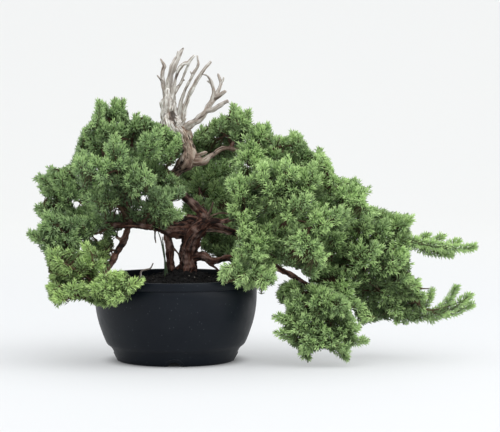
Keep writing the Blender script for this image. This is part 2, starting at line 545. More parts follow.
@dataclass(frozen=True)
class Route:
    """A smooth curve through (x, y, z, radius) points in millimetres."""

    points: list
    samples: int = 24  # how many places are read between two points

    def at(self, share: float) -> tuple[Vector, float]:
        """The place and radius at a share of the way.

        Args:
            share: 0 at the first point and 1 at the last.

        Returns:
            The place and the radius, in metres.
        """
        places = [Vector(point[:3]) * MM for point in self.points]
        radii = [point[3] * MM for point in self.points]
        places = [2 * places[0] - places[1], *places, 2 * places[-1] - places[-2]]
        i = min(int(share * (len(radii) - 1)), len(radii) - 2)
        t = share * (len(radii) - 1) - i
        before, start, end, after = places[i : i + 4]
        place = (
            2 * start
            + (end - before) * t
            + (2 * before - 5 * start + 4 * end - after) * t**2
            + (3 * start - before - 3 * end + after) * t**3
        ) / 2
        return place, radii[i] + (radii[i + 1] - radii[i]) * t

    def stations(self, spacing: float) -> list[Station]:
        """Cross-sections at an even spacing, turned as little as possible.

        Args:
            spacing: How far apart they are, in metres.

        Returns:
            The stations from the first point to the last.
        """
        count = self.samples * (len(self.points) - 1)
        samples = [self.at(i / count) for i in range(count + 1)]
        walked = [0.0]
        for (start, _), (end, _) in zip(samples, samples[1:]):
            walked.append(walked[-1] + (end - start).length)
        steps = max(2, round(walked[-1] / spacing))
        kept = [0]
        for i in range(1, steps):
            at = kept[-1]
            while walked[at] < walked[-1] * i / steps:
                at += 1
            kept.append(max(at, kept[-1] + 1))
        kept = [i for i in kept if i < count] + [count]
        side = None
        found = []
        for i, at in enumerate(kept):
            after, before = samples[kept[min(i + 1, len(kept) - 1)]], samples[kept[max(i - 1, 0)]]
            along = (after[0] - before[0]).normalized()
            side = along.orthogonal() if side is None else side
            side = (side - along * side.dot(along)).normalized()
            place, radius = samples[at]
            found.append(Station(place, along, side, radius, walked[at]))
        return found


def draw_tube(bm: BMesh, stations: list[Station], sides: int, flatness: float = 0.0) -> None:
    """Draws a closed tube through stations by extruding its end face from one to the next.

    Args:
        bm: The bmesh it is added to.
        stations: Its cross-sections.
        sides: How many sides it has.
        flatness: How much thinner than wide it is.
    """
    number = bm.verts.layers.int.get("corner") or bm.verts.layers.int.new("corner")
    ring = bmesh.ops.create_circle(bm, cap_ends=True, segments=sides, radius=1)["verts"]
    for i, vert in enumerate(ring):
        vert[number] = i
    end = ring[0].link_faces[0]
    for i, station in enumerate(stations):
        if i:
            grown = bmesh.ops.extrude_face_region(bm, geom=[end])["geom"]
            if i > 1:
                bmesh.ops.delete(bm, geom=[end], context="FACES_ONLY")
            end = next(item for item in grown if isinstance(item, BMFace))
        for vert in end.verts:
            angle = math.tau * vert[number] / sides
            thin = 1 - flatness * math.sin(angle) ** 2
            outwards = station.side * math.cos(angle) + station.up * math.sin(angle)
            vert.co = station.place + outwards * station.radius * thin


def closed_outwards(bm: BMesh) -> None:
    """Turns every face of a closed skin outwards and shades it smooth.

    Args:
        bm: The skin.
    """
    bmesh.ops.recalc_face_normals(bm, faces=bm.faces)
    if bm.calc_volume(signed=True) < 0:
        bmesh.ops.reverse_faces(bm, faces=bm.faces)
    for face in bm.faces:
        face.smooth = True


# Finishes


class Graph:
    """Places and joins the nodes of one material or node group."""

    def __init__(self, tree: NodeTree) -> None:
        """Keeps the tree that the nodes go into, and its shader where it has one."""
        self.tree = tree
        self.shader = tree.nodes.get("Principled BSDF")

    def add(self, kind: str, props: dict | None = None, **inputs) -> Node:
        """Adds a node.

        Args:
            kind: The node's type without its ShaderNode beginning.
            props: Settings of the node itself.
            inputs: A value or a socket for each named input, with _ for a blank.

        Returns:
            The new node.
        """
        made = self.tree.nodes.new("ShaderNode" + kind)
        for name, value in (props or {}).items():
            setattr(made, name, value)
        for name, value in inputs.items():
            self.feed(made.inputs[name.replace("_", " ")], value)
        return made

    def feed(self, socket: NodeSocket, value: object) -> None:
        """Links a socket to another, or sets its value.

        Args:
            socket: The input that is fed.
            value: Another node's output, a number, a vector or a colour.
        """
        if isinstance(value, NodeSocket):
            self.tree.links.new(value, socket)
        else:
            socket.default_value = (*value, 1) if socket.type == "RGBA" else value

    def read(self, name: str, kind: str = "Fac") -> NodeSocket:
        """A named attribute of the mesh, as one number unless another kind is asked for."""
        return self.add("Attribute", {"attribute_name": name}).outputs[kind]

    def place(self) -> NodeSocket:
        """The place on the piece, in metres."""
        return self.add("TexCoord").outputs["Object"]

    def mix(self, share: object, first: object, second: object, blend: str = "MIX") -> NodeSocket:
        """Mixes two colours.

        Args:
            share: How much of the second, as a number or a socket.
            first: A colour or a socket.
            second: A colour or a socket.
            blend: The way they are mixed.

        Returns:
            The mixed colour's socket.
        """
        made = self.add("Mix", {"data_type": "RGBA", "blend_type": blend})
        for at, value in ((0, share), (6, first), (7, second)):
            self.feed(made.inputs[at], value)
        return made.outputs[2]

    def veil(self, tone: NodeSocket, mask: NodeSocket, share: float, colour: tuple) -> NodeSocket:
        """Lays a colour over a tone where a mask is 1, at most by a share."""
        return self.mix(self.sums("MULTIPLY", mask, share), tone, colour)

    def ramp(self, value: NodeSocket, *stops: tuple) -> NodeSocket:
        """Colours by a value.

        Args:
            value: The socket that is read.
            stops: Pairs of a place from 0 to 1 and a colour.

        Returns:
            The colour's socket.
        """
        made = self.add("ValToRGB", Fac=value)
        points = made.color_ramp.elements
        while len(points) < len(stops):
            points.new(0.5)
        for point, (place, colour) in zip(points, stops):
            point.position = place
            point.color = (*colour, 1)
        return made.outputs["Color"]

    def sums(self, operation: str, *values: object) -> NodeSocket:
        """One step of arithmetic.

        Args:
            operation: The sum's name.
            values: The numbers or sockets it takes, in order.

        Returns:
            The result's socket.
        """
        made = self.add("Math", {"operation": operation})
        for socket, value in zip(made.inputs, values):
            self.feed(socket, value)
        return made.outputs[0]

    def spread(self, value: NodeSocket, low: float, high: float) -> NodeSocket:
        """Stretches the part of a value between low and high to 0 to 1, smoothly."""
        smooth = {"interpolation_type": "SMOOTHSTEP"}
        return self.add("MapRange", smooth, Value=value, From_Min=low, From_Max=high).outputs[0]

    def between(self, value: NodeSocket, low: float, high: float) -> NodeSocket:
        """Turns a value from 0 to 1 into one from low to high."""
        return self.add("MapRange", Value=value, To_Min=low, To_Max=high).outputs[0]

    def patches(
        self, where: NodeSocket, scale: object, detail: float = 4.0, rough: float = 0.55
    ) -> NodeSocket:
        """Soft noise at this many patches a metre, with finer layers of a strength."""
        made = self.add("TexNoise", Vector=where, Scale=scale, Detail=detail, Roughness=rough)
        return made.outputs["Fac"]

    def fibres(self, fineness: float, stretch: float) -> list[NodeSocket]:
        """The fine fibres and the broad plates of wood, drawn out along its grain.

        Args:
            fineness: How fine the fibres are.
            stretch: How fast they change along the grain, against across it.

        Returns:
            The two masks' sockets.
        """
        where = self.read("grain", "Vector")
        made = self.add("Group", {"node_tree": fibre_group()}, Vector=where, Fineness=fineness)
        self.feed(made.inputs["Stretch"], stretch)
        return [made.outputs["Fibre"], made.outputs["Plate"]]

    def specks(self, where: NodeSocket, scale: float, amount: float) -> NodeSocket:
        """A mask of fine specks, of which this share of the cells has one."""
        tree = {"node_tree": speck_group()}
        return self.add("Group", tree, Vector=where, Scale=scale, Amount=amount).outputs["Mask"]

    def dress(self, tone: NodeSocket, rough: object, shine: float = 0.5) -> None:
        """Gives the shader its colour, its roughness and its shine.

        Args:
            tone: The colour.
            rough: The roughness, as a number or a socket.
            shine: How strongly it mirrors.
        """
        parts = {"Base Color": tone, "Roughness": rough, "Specular IOR Level": shine}
        for name, value in parts.items():
            self.feed(self.shader.inputs[name], value)

    def bump(self, height: NodeSocket, depth: float) -> None:
        """Raises the surface by a height from 0 to 1, where 1 stands out this many metres."""
        made = self.add("Bump", Height=height, Strength=1.0, Distance=depth)
        self.feed(self.shader.inputs["Normal"], made.outputs["Normal"])


def new_group(name: str, inputs: dict, outputs: dict) -> tuple[Graph, Node, Node]:
    """Starts a shared node group.

    Args:
        name: The group's name.
        inputs: The socket type of each input.
        outputs: The socket type of each output.

    Returns:
        The group's Graph, its input node and its output node.
    """
    tree = bpy.data.node_groups.new(name, "ShaderNodeTree")
    for in_out, sockets in (("INPUT", inputs), ("OUTPUT", outputs)):
        for label, kind in sockets.items():
            tree.interface.new_socket(label, in_out=in_out, socket_type="NodeSocket" + kind)
    return Graph(tree), tree.nodes.new("NodeGroupInput"), tree.nodes.new("NodeGroupOutput")


@lru_cache(maxsize=None)
def fibre_group() -> NodeTree:
    """The long fibres of wood and bark: noise drawn out along the grain.

    Returns:
        The group, which reads a Vector in millimetres along the grain and puts out Fibre,
        which is fine, and Plate, which is broad.
    """
    sockets = {"Vector": "Vector", "Fineness": "Float", "Stretch": "Float"}
    graph, given, put = new_group("long fibres", sockets, {"Fibre": "Float", "Plate": "Float"})
    drawn = graph.add("CombineXYZ", X=1.0, Y=1.0, Z=given.outputs["Stretch"])
    even = graph.add("VectorMath", {"operation": "MULTIPLY"})
    graph.feed(even.inputs[0], given.outputs["Vector"])
    graph.feed(even.inputs[1], drawn.outputs[0])
    fineness = given.outputs["Fineness"]
    fine = graph.patches(even.outputs[0], fineness, 5.0, 0.6)
    broad = graph.patches(even.outputs[0], graph.sums("MULTIPLY", fineness, 0.28), 3.0)
    graph.feed(put.inputs["Fibre"], graph.spread(fine, 0.3, 0.7))
    graph.feed(put.inputs["Plate"], graph.spread(broad, 0.35, 0.65))
    return graph.tree


@lru_cache(maxsize=None)
def speck_group() -> NodeTree:
    """Fine specks, as of dust or pale grit.

    Returns:
        The group, which reads a Vector, a Scale and an Amount and puts out a Mask.
    """
    sockets = {"Vector": "Vector", "Scale": "Float", "Amount": "Float"}
    graph, given, put = new_group("fine specks", sockets, {"Mask": "Float"})
    cells = graph.add("TexVoronoi", Vector=given.outputs["Vector"], Scale=given.outputs["Scale"])
    chosen = graph.add("SeparateColor", Color=cells.outputs["Color"])
    rare = graph.sums("LESS_THAN", chosen.outputs[0], given.outputs["Amount"])
    near = graph.spread(cells.outputs["Distance"], 0.42, 0.12)
    graph.feed(put.inputs["Mask"], graph.sums("MULTIPLY", rare, near))
    return graph.tree


class Finish:
    """A material that is built once, on a Principled shader of its own."""

    name: str

    @lru_cache(maxsize=None)
    def material(self) -> Material:
        """The material, made at the first call.

        Returns:
            The finished material.
        """
        made = bpy.data.materials.new(self.name)
        made.use_nodes = True
        self.paint(Graph(made.node_tree))
        return made

    def paint(self, graph: Graph) -> None:
        """Joins the finish's own nodes to its shader."""
        raise NotImplementedError


@dataclass(frozen=True)
class PotPlastic(Finish):
    """Satin black moulded plastic with dust in it and faint scuffs."""

    name: str = "moulded plastic"
    colour: tuple = (0.0019, 0.0042, 0.0086)
    worn: tuple = (0.0040, 0.0068, 0.0112)
    dust: tuple = (0.045, 0.052, 0.060)

    def paint(self, graph: Graph) -> None:
        """Joins the dusty plastic to its shader.

        Args:
            graph: The material's graph.
        """
        spot = graph.place()
        broad = graph.patches(spot, 22, 3)
        tone = graph.mix(graph.spread(broad, 0.35, 0.7), self.colour, self.worn)
        tone = graph.veil(tone, graph.specks(spot, 420.0, 0.05), 0.55, self.dust)
        flat = graph.add("Mapping", Vector=spot, Scale=(1, 1, 9))
        scuff = graph.spread(graph.patches(flat.outputs[0], 55, 6, 0.7), 0.60, 0.78)
        tone = graph.veil(tone, scuff, 0.10, self.dust)
        facing = graph.add("SeparateXYZ", Vector=graph.add("NewGeometry").outputs["Normal"])
        ledge = graph.spread(facing.outputs["Z"], 0.5, 1.0)
        settled = graph.sums("MULTIPLY", ledge, graph.spread(broad, 0.4, 0.62))
        tone = graph.veil(tone, settled, 0.35, self.dust)
        graph.dress(tone, graph.between(graph.patches(spot, 90, 5, 0.6), 0.30, 0.56), 0.2)
        graph.bump(graph.patches(spot, 1500, 2), 0.00002)


@dataclass(frozen=True)
class Bark(Finish):
    """Flaking red-brown bark, grey on its ridges and bare towards the dead crown."""

    name: str = "flaking bark"
    furrow: tuple = (0.005, 0.003, 0.0025)
    red: tuple = (0.052, 0.018, 0.0115)
    tan: tuple = (0.165, 0.074, 0.048)
    grey: tuple = (0.29, 0.195, 0.165)
    check: tuple = (0.07, 0.04, 0.03)
    old: tuple = (0.19, 0.125, 0.09)
    bare: tuple = (0.36, 0.285, 0.22)
    pale: tuple = (0.56, 0.50, 0.43)

    def paint(self, graph: Graph) -> None:
        """Joins the bark to its shader.

        Args:
            graph: The material's graph.
        """
        relief = graph.read("relief")
        fibre, plate = graph.fibres(0.34, 0.10)
        tone = graph.ramp(
            fibre, (0.0, self.furrow), (0.45, self.red), (0.8, self.tan), (1.0, self.grey)
        )
        tone = graph.mix(graph.sums("MULTIPLY", plate, 0.5), tone, self.red, "MULTIPLY")
        flakes = graph.spread(graph.patches(graph.place(), 95), 0.42, 0.62)
        flaked = graph.sums("MULTIPLY", graph.spread(relief, 0.45, 0.95), flakes)
        tone = graph.veil(tone, flaked, 0.7, self.grey)
        wood = graph.ramp(
            fibre, (0.0, self.check), (0.3, self.old), (0.6, self.bare), (1.0, self.pale)
        )
        tone = graph.mix(graph.read("bare"), tone, wood)
        tone = graph.veil(tone, graph.spread(relief, 0.50, 0.22), 0.95, self.furrow)
        graph.dress(tone, graph.between(fibre, 0.72, 0.94), 0.3)
        graph.bump(fibre, 0.0004)


@dataclass(frozen=True)
class BareWood(Finish):
    """Weathered bare wood: silver, with pink-brown streaks in its checks."""

    name: str = "weathered wood"
    check: tuple = (0.055, 0.035, 0.025)
    brown: tuple = (0.26, 0.20, 0.155)
    silver: tuple = (0.57, 0.55, 0.505)
    pale: tuple = (0.80, 0.785, 0.74)
    streak: tuple = (0.25, 0.185, 0.14)
    prong: tuple = (0.20, 0.145, 0.11)
    stain: tuple = (0.09, 0.06, 0.045)
    deep: tuple = (0.06, 0.04, 0.03)

    def paint(self, graph: Graph) -> None:
        """Joins the weathered wood to its shader.

        Args:
            graph: The material's graph.
        """
        spot = graph.place()
        fibre, plate = graph.fibres(0.55, 0.06)
        tone = graph.ramp(
            fibre, (0.0, self.check), (0.30, self.brown), (0.62, self.silver), (1.0, self.pale)
        )
        streak = graph.spread(graph.patches(spot, 60), 0.50, 0.62)
        tone = graph.veil(tone, streak, 0.6, self.streak)
        browner = graph.spread(graph.patches(spot, 130), 0.25, 0.6)
        tone = graph.mix(graph.sums("MULTIPLY", browner, graph.read("bare")), tone, self.prong)
        stained = graph.spread(graph.patches(spot, 170, 3), 0.58, 0.68)
        tone = graph.veil(tone, stained, 0.6, self.stain)
        tone = graph.veil(tone, plate, 0.38, self.pale)
        tone = graph.veil(tone, graph.spread(graph.read("relief"), 0.38, 0.08), 0.8, self.deep)
        graph.dress(tone, graph.between(fibre, 0.68, 0.9), 0.3)
        graph.bump(fibre, 0.0003)


@dataclass(frozen=True)
class Needles(Finish):
    """Juniper needles: fresh at the shoots' tips, with a bluish bloom, brown deep inside."""

    name: str
    fresh: tuple
    middle: tuple
    shade: tuple
    bloom: tuple = (0.56, 0.70, 0.44)
    withered: tuple = (0.13, 0.095, 0.045)
    deep: tuple = (0.012, 0.023, 0.011)

    def paint(self, graph: Graph) -> None:
        """Joins the needles' green to its shader.

        Args:
            graph: The material's graph.
        """
        parts = graph.add("SeparateXYZ", Vector=graph.read("leaf", "Vector"))
        tint, age, band = (parts.outputs[axis] for axis in "XYZ")
        tone = graph.ramp(
            age, (0.0, self.withered), (0.2, self.shade), (0.58, self.middle), (0.95, self.fresh)
        )
        lift = graph.spread(graph.read("vigour"), 0.0, 1.0)
        tone = graph.mix(lift, graph.mix(0.6, tone, self.shade), tone)
        tone = graph.veil(tone, graph.spread(tint, 0.1, 1.0), 0.7, self.fresh)
        tone = graph.veil(tone, graph.spread(tint, -0.2, -1.0), 0.6, self.shade)
        tone = graph.veil(tone, band, 0.42, self.bloom)
        tone = graph.veil(tone, graph.spread(graph.read("daylight"), 0.60, 0.20), 0.94, self.deep)
        fleck = graph.spread(graph.patches(graph.place(), 700, 2), 0.3, 0.7)
        tone = graph.veil(tone, fleck, 0.25, self.middle)
        graph.dress(tone, graph.between(age, 0.62, 0.44), 0.35)
        graph.bump(fleck, 0.00008)


NEEDLES = {  # the needles of the groups that have a green of their own
    "left": Needles(
        "juniper needles", fresh=(0.46, 0.66, 0.225), middle=(0.225, 0.38, 0.12),
        shade=(0.045, 0.095, 0.036),
    ),
    "low_left": Needles(
        "fresh juniper needles", fresh=(0.54, 0.75, 0.21), middle=(0.32, 0.50, 0.12),
        shade=(0.10, 0.17, 0.045),
    ),
}
SUNLIT_NEEDLES = Needles(
    "juniper needles in the light", fresh=(0.57, 0.79, 0.285), middle=(0.285, 0.46, 0.135),
    shade=(0.057, 0.115, 0.038),
)


@dataclass(frozen=True)
class TwigBark(Finish):
    """The thin brown bark of the leafy twigs, greener towards their tips."""

    name: str = "twig bark"
    old: tuple = (0.07, 0.034, 0.02)
    young: tuple = (0.10, 0.066, 0.027)
    tip: tuple = (0.07, 0.12, 0.035)
    flake: tuple = (0.040, 0.020, 0.013)

    def paint(self, graph: Graph) -> None:
        """Joins the thin bark to its shader.

        Args:
            graph: The material's graph.
        """
        age = graph.add("SeparateXYZ", Vector=graph.read("leaf", "Vector")).outputs["Y"]
        flakes = graph.spread(graph.patches(graph.place(), 600, 3), 0.35, 0.65)
        tone = graph.ramp(age, (0.0, self.old), (0.45, self.young), (1.0, self.tip))
        graph.dress(graph.veil(tone, flakes, 0.6, self.flake), 0.8)
        graph.bump(flakes, 0.0002)


@dataclass(frozen=True)
class Soil(Finish):
    """Dark moist potting soil with a few pale grains."""

    name: str = "potting soil"
    wet: tuple = (0.0022, 0.0022, 0.0026)
    crumb: tuple = (0.011, 0.010, 0.010)
    bark_chip: tuple = (0.030, 0.024, 0.020)
    pale_grain: tuple = (0.28, 0.26, 0.23)
    grit: tuple = (0.2, 0.18, 0.16)

    def paint(self, graph: Graph) -> None:
        """Joins the crumbly soil to its shader.

        Args:
            graph: The material's graph.
        """
        spot, kind = graph.place(), graph.read("kind")
        crumb = graph.spread(graph.patches(spot, 420, 6, 0.65), 0.3, 0.7)
        tone = graph.mix(crumb, self.wet, self.crumb)
        tone = graph.mix(graph.spread(kind, 0.55, 0.9), tone, self.bark_chip)
        tone = graph.mix(graph.spread(kind, 0.93, 0.99), tone, self.pale_grain)
        tone = graph.veil(tone, graph.specks(spot, 520.0, 0.02), 0.6, self.grit)
        graph.dress(tone, graph.between(crumb, 0.72, 0.98), 0.25)
        graph.bump(crumb, 0.0008)


@dataclass(frozen=True)
class GrassBlade(Finish):
    """A thin dark grass blade with veins along it."""

    name: str = "grass blade"
    vein: tuple = (0.014, 0.036, 0.016)
    green: tuple = (0.05, 0.095, 0.04)
    dry: tuple = (0.11, 0.12, 0.05)

    def paint(self, graph: Graph) -> None:
        """Joins the veined blade to its shader.

        Args:
            graph: The material's graph.
        """
        fibre, _ = graph.fibres(3.0, 0.02)
        tone = graph.mix(fibre, self.vein, self.green)
        drier = graph.spread(graph.patches(graph.place(), 50, 3), 0.55, 0.75)
        graph.dress(graph.veil(tone, drier, 0.5, self.dry), 0.5)
        graph.bump(fibre, 0.0001)


@dataclass(frozen=True)
class PaleFloor(Finish):
    """The plain pale floor and backdrop."""

    name: str = "pale floor"
    colour: tuple = (0.395, 0.396, 0.388)
    paler: tuple = (0.405, 0.406, 0.398)
    near: tuple = (0.312, 0.318, 0.326)
    glow: float = 0.465  # the light that keeps its shadows pale
    glow_colour: tuple = (0.975, 0.99, 1.0)

    def paint(self, graph: Graph) -> None:
        """Joins the plain pale paint to its shader.

        Args:
            graph: The material's graph.
        """
        spot = graph.place()
        tone = graph.mix(graph.patches(spot, 1.2, 2), self.colour, self.paler)
        length = graph.add("VectorMath", {"operation": "LENGTH"}, Vector=spot).outputs["Value"]
        graph.dress(graph.mix(graph.spread(length, 0.6, 2.4), self.near, tone), 0.85, 0.2)
        open_floor = graph.spread(length, 0.060, 0.098)
        wide = graph.sums("MULTIPLY_ADD", graph.spread(length, 0.08, 0.36), 0.16, 0.84)
        glow = graph.sums("MULTIPLY_ADD", open_floor, self.glow * 0.98, self.glow * 0.02)
        graph.feed(graph.shader.inputs["Emission Color"], self.glow_colour)
        graph.feed(graph.shader.inputs["Emission Strength"], graph.sums("MULTIPLY", glow, wide))


# Pot and soil


def spin_round(bm: BMesh, profile: list, sides: int) -> None:
    """Spins a profile round the pot's axis into one closed skin.

    Args:
        bm: The bmesh it is added to.
        profile: Pairs of a radius and a height, in metres.
        sides: How many sides the skin gets.
    """
    verts = [bm.verts.new((radius, 0, height)) for radius, height in profile]
    edges = [bm.edges.new(pair) for pair in zip(verts, verts[1:])]
    bmesh.ops.spin(
        bm, geom=verts + edges, cent=(0, 0, 0), axis=(0, 0, 1), angle=math.tau, steps=sides,
        use_merge=True,
    )
    bmesh.ops.remove_doubles(bm, verts=bm.verts, dist=1e-6)


def bore(bm: BMesh, sides: int, radius: float, length: float, place: Matrix) -> None:
    """Adds one round cutter.

    Args:
        bm: The bmesh it is added to.
        sides: How many sides it has.
        radius: Its radius.
        length: How long it is.
        place: Where its middle goes and how it is turned.
    """
    bmesh.ops.create_cone(
        bm, cap_ends=True, segments=sides, radius1=radius, radius2=radius, depth=length, matrix=place
    )


@dataclass
class TrainingPot:
    """The round training pot: a stepped wall, a rolled rim, drain notches and their arches."""

    sides: int = 144
    notch_radius: float = 9.02 * MM
    notch_drop: float = 3.02 * MM
    notch_reach: float = 72 * MM
    notch_length: float = 16 * MM
    notch_count: int = 4
    arch_radius: float = 12.6 * MM
    arch_bead: float = 1.0 * MM
    arch_sunk: float = 0.2 * MM
    arch_steps: int = 28
    drain_radius: float = 5 * MM
    drain_reach: float = 48 * MM
    drain_length: float = 20 * MM
    drain_count: int = 6
    floor_middle: float = 6 * MM
    foot: tuple = (71.2 * MM, 0.3 * MM)  # the outer wall's radius and height at its foot
    shoulder: tuple = (79.9 * MM, 16.9 * MM)  # and at its shoulder
    sharp: float = math.radians(32)
    finish: PotPlastic = field(default_factory=PotPlastic)

    def build(self) -> None:
        """Builds the pot and its arches and seats them in place of the pot's solid."""
        bm = bmesh.new()
        spin_round(bm, [(radius * MM, height * MM) for radius, height in POT_PROFILE], self.sides)
        closed_outwards(bm)
        pot = solid_from("training_pot", bm, self.finish.material())
        self.cut_openings(pot)
        seat(pot, "pot", "pot")
        seat(self.arches(), "pot")

    def cut_openings(self, pot: Object) -> None:
        """Cuts the drain notches and the drain holes.

        Args:
            pot: The closed pot.
        """
        bm = bmesh.new()
        lie = Matrix.Rotation(math.pi / 2, 4, "X")
        lie = Matrix.Translation((0, -self.notch_reach, -self.notch_drop)) @ lie
        for i in range(self.notch_count):
            turn = Matrix.Rotation(math.tau * i / self.notch_count, 4, "Z")
            bore(bm, 48, self.notch_radius, self.notch_length, turn @ lie)
        for i in range(self.drain_count):
            angle = math.tau * (i + 0.5) / self.drain_count
            x, y = self.drain_reach * math.cos(angle), self.drain_reach * math.sin(angle)
            place = Matrix.Translation((x, y, self.floor_middle))
            bore(bm, 32, self.drain_radius, self.drain_length, place)
        cutter = solid_from("openings", bm)
        cut = pot.modifiers.new("Openings", "BOOLEAN")
        cut.operation = "DIFFERENCE"
        cut.solver = "EXACT"
        cut.object = cutter
        settle(pot)
        bpy.data.objects.remove(cutter, do_unlink=True)
        pot.data.set_sharp_from_angle(angle=self.sharp)

    def wall_radius(self, height: float) -> float:
        """The outer wall's radius at a height near the foot.

        Args:
            height: The height in metres.

        Returns:
            The radius in metres.
        """
        share = (height - self.foot[1]) / (self.shoulder[1] - self.foot[1])
        return self.foot[0] + (self.shoulder[0] - self.foot[0]) * min(max(share, 0), 1)

    def arches(self) -> Object:
        """The raised beads that run over the drain notches.

        Returns:
            All of them as one piece.
        """
        bm = bmesh.new()
        start = math.asin((self.notch_drop + self.arch_sunk) / self.arch_radius)
        for i in range(self.notch_count):
            turn = math.tau * i / self.notch_count
            stations = []
            for j in range(self.arch_steps + 1):
                angle = start + (math.pi - 2 * start) * j / self.arch_steps
                height = self.arch_radius * math.sin(angle) - self.notch_drop
                reach = self.wall_radius(height) - self.arch_sunk
                way = turn + self.arch_radius * math.cos(angle) / reach
                out = Vector((math.sin(way), -math.cos(way), 0))
                place = out * reach + Vector((0, 0, height))
                flat = -math.sin(angle)
                along = Vector((flat * math.cos(turn), flat * math.sin(turn), math.cos(angle)))
                side = (out - along * out.dot(along)).normalized()
                stations.append(Station(place, along, side, self.arch_bead))
            draw_tube(bm, stations, 10)
        closed_outwards(bm)
        return solid_from("pot_drain_arches", bm, self.finish.material())


def settle(obj: Object) -> None:
    """Applies a piece's modifiers to its mesh.

    Args:
        obj: The piece.
    """
    graph = bpy.context.evaluated_depsgraph_get()
    made = bpy.data.meshes.new_from_object(obj.evaluated_get(graph))
    old = obj.data
    obj.modifiers.clear()
    obj.data = made
    bpy.data.meshes.remove(old)


def ground(x: float, y: float) -> float:
    """The height of the soil's mounded surface.

    Args:
        x: Where, in metres.
        y: Where, in metres.

    Returns:
        The height in metres.
    """
    off = math.hypot(x - 8 * MM, y - 2 * MM)
    mound = math.exp(-((off / (42 * MM)) ** 2))
    crumbs = math.sin(210 * x + 1) * math.cos(190 * y) + 0.6 * math.sin(430 * x + 390 * y)
    return (95 + 18 * mound + 0.96 * crumbs) * MM


@dataclass
class SoilBed:
    """The soil in the pot: a crumbly mound with loose grains on it."""

    radius: float = 95.6 * MM
    height: float = 95 * MM
    wall: tuple = ((94.6 * MM, 62 * MM), (81 * MM, 25 * MM))
    foot_radius: float = 70 * MM
    foot_height: float = 7.4 * MM
    rings: int = 62
    sides: int = 150
    grains: int = 1700
    grain_size: float = 1.9 * MM
    pale_share: float = 0.035
    edge: float = 2.2 * MM  # how far from the wall the grains stay
    finish: Soil = field(default_factory=Soil)

    def build(self) -> None:
        """Builds the bed and its grains and seats them in place of the soil's solid."""
        seat(self.bed(), "soil", "soil")
        seat(self.loose_grains(), "soil")

    def bed(self) -> Object:
        """Spins the bed's profile and roughens its top.

        Returns:
            The bed as one closed piece.
        """
        bm = bmesh.new()
        kind = bm.verts.layers.float.new("kind")
        top = [(self.radius * i / self.rings, self.height) for i in range(self.rings + 1)]
        foot = [(self.foot_radius, self.foot_height), (0, self.foot_height)]
        spin_round(bm, [*top, *self.wall, *foot], self.sides)
        for vert in bm.verts:
            if vert.co.z < self.height - MM:
                continue
            place = Vector((vert.co.x, vert.co.y, 0))
            rough = noise.turbulence(place * 260, 4, False) * 1.5 - 0.9
            lumps = noise.noise(place * 90) * 1.1
            vert.co.z = ground(vert.co.x, vert.co.y) + (rough + lumps) * MM
            vert[kind] = 0.35 + 0.2 * noise.noise(place * 150)
        closed_outwards(bm)
        return solid_from("soil_bed", bm, self.finish.material())

    def loose_grains(self) -> Object:
        """Scatters crumbs of many sizes over the bed.

        Returns:
            All the crumbs as one piece.
        """
        rng = random.Random(SEED)
        pattern = bmesh.new()
        pattern.verts.layers.float.new("kind")
        bmesh.ops.create_icosphere(pattern, subdivisions=1, radius=1)
        grain = mesh_from("grain", pattern)
        bm = bmesh.new()
        bm.verts.layers.float.new("kind")
        for _ in range(self.grains):
            reach = (self.radius - self.edge) * math.sqrt(rng.random())
            angle = rng.uniform(0, math.tau)
            x, y = reach * math.cos(angle), reach * math.sin(angle)
            size = rng.uniform(0.5, 1.0) ** 2 * self.grain_size
            pale = rng.random() < self.pale_share
            if pale:
                size *= 0.6
            roll = rng.uniform(0, math.tau)
            turn = Matrix.Rotation(roll, 4, Vector((1, rng.random(), rng.random())))
            shape = (size, size * rng.uniform(0.55, 0.9), size * rng.uniform(0.5, 0.8), 1)
            place = Matrix.Translation((x, y, ground(x, y) + 0.35 * size))
            made = grain.copy()
            made.transform(place @ turn @ Matrix.Diagonal(shape))
            kind = 1.0 if pale else rng.uniform(0.0, 0.9)
            made.attributes["kind"].data.foreach_set("value", [kind] * len(made.vertices))
            bm.from_mesh(made)
            bpy.data.meshes.remove(made)
        bpy.data.meshes.remove(grain)
        return solid_from("soil_grains", bm, self.finish.material())


@dataclass
class ThinStems:
    """The two grass blades and the bent twig that stand in the soil."""

    blade_sides: int = 8
    blade_flatness: float = 0.72
    twig_sides: int = 10
    spacing: float = 1.2 * MM
    grass: GrassBlade = field(default_factory=GrassBlade)
    wood: BareWood = field(default_factory=BareWood)

    def build(self) -> None:
        """Builds each stem and seats it in place of its own solid."""
        for name, points in GRASS_BLADES.items():
            piece = self.stem(name.replace("grass_blade", "thin_blade"), points, self.blade_sides,
                              self.blade_flatness, self.grass)
            seat(piece, "grass", name)
        piece = self.stem("bent_soil_twig", SOIL_TWIG, self.twig_sides, 0.0, self.wood)
        seat(piece, "bare_wood", "soil_twig")

    def stem(self, name: str, points: list, sides: int, flatness: float, finish: Finish) -> Object:
        """One thin stem along its route.

        Args:
            name: The piece's name.
            points: Its route.
            sides: How many sides it has.
            flatness: How much thinner than wide it is.
            finish: What it is finished with.

        Returns:
            The finished piece.
        """
        bm = bmesh.new()
        stations = Route(points).stations(self.spacing)
        draw_tube(bm, stations, sides, flatness)
        closed_outwards(bm)
        grain = bm.verts.layers.float_vector.new("grain")
        relief = bm.verts.layers.float.new("relief")
        for vert in bm.verts:
            near = min(stations, key=lambda each: (each.place - vert.co).length)
            off = (vert.co - near.place) / MM
            vert[grain] = (off.dot(near.side), off.dot(near.up), near.walked / MM)
            vert[relief] = 0.5 + 0.4 * noise.noise(vert.co / MM)
        return solid_from(name, bm, finish.material())


# Wood


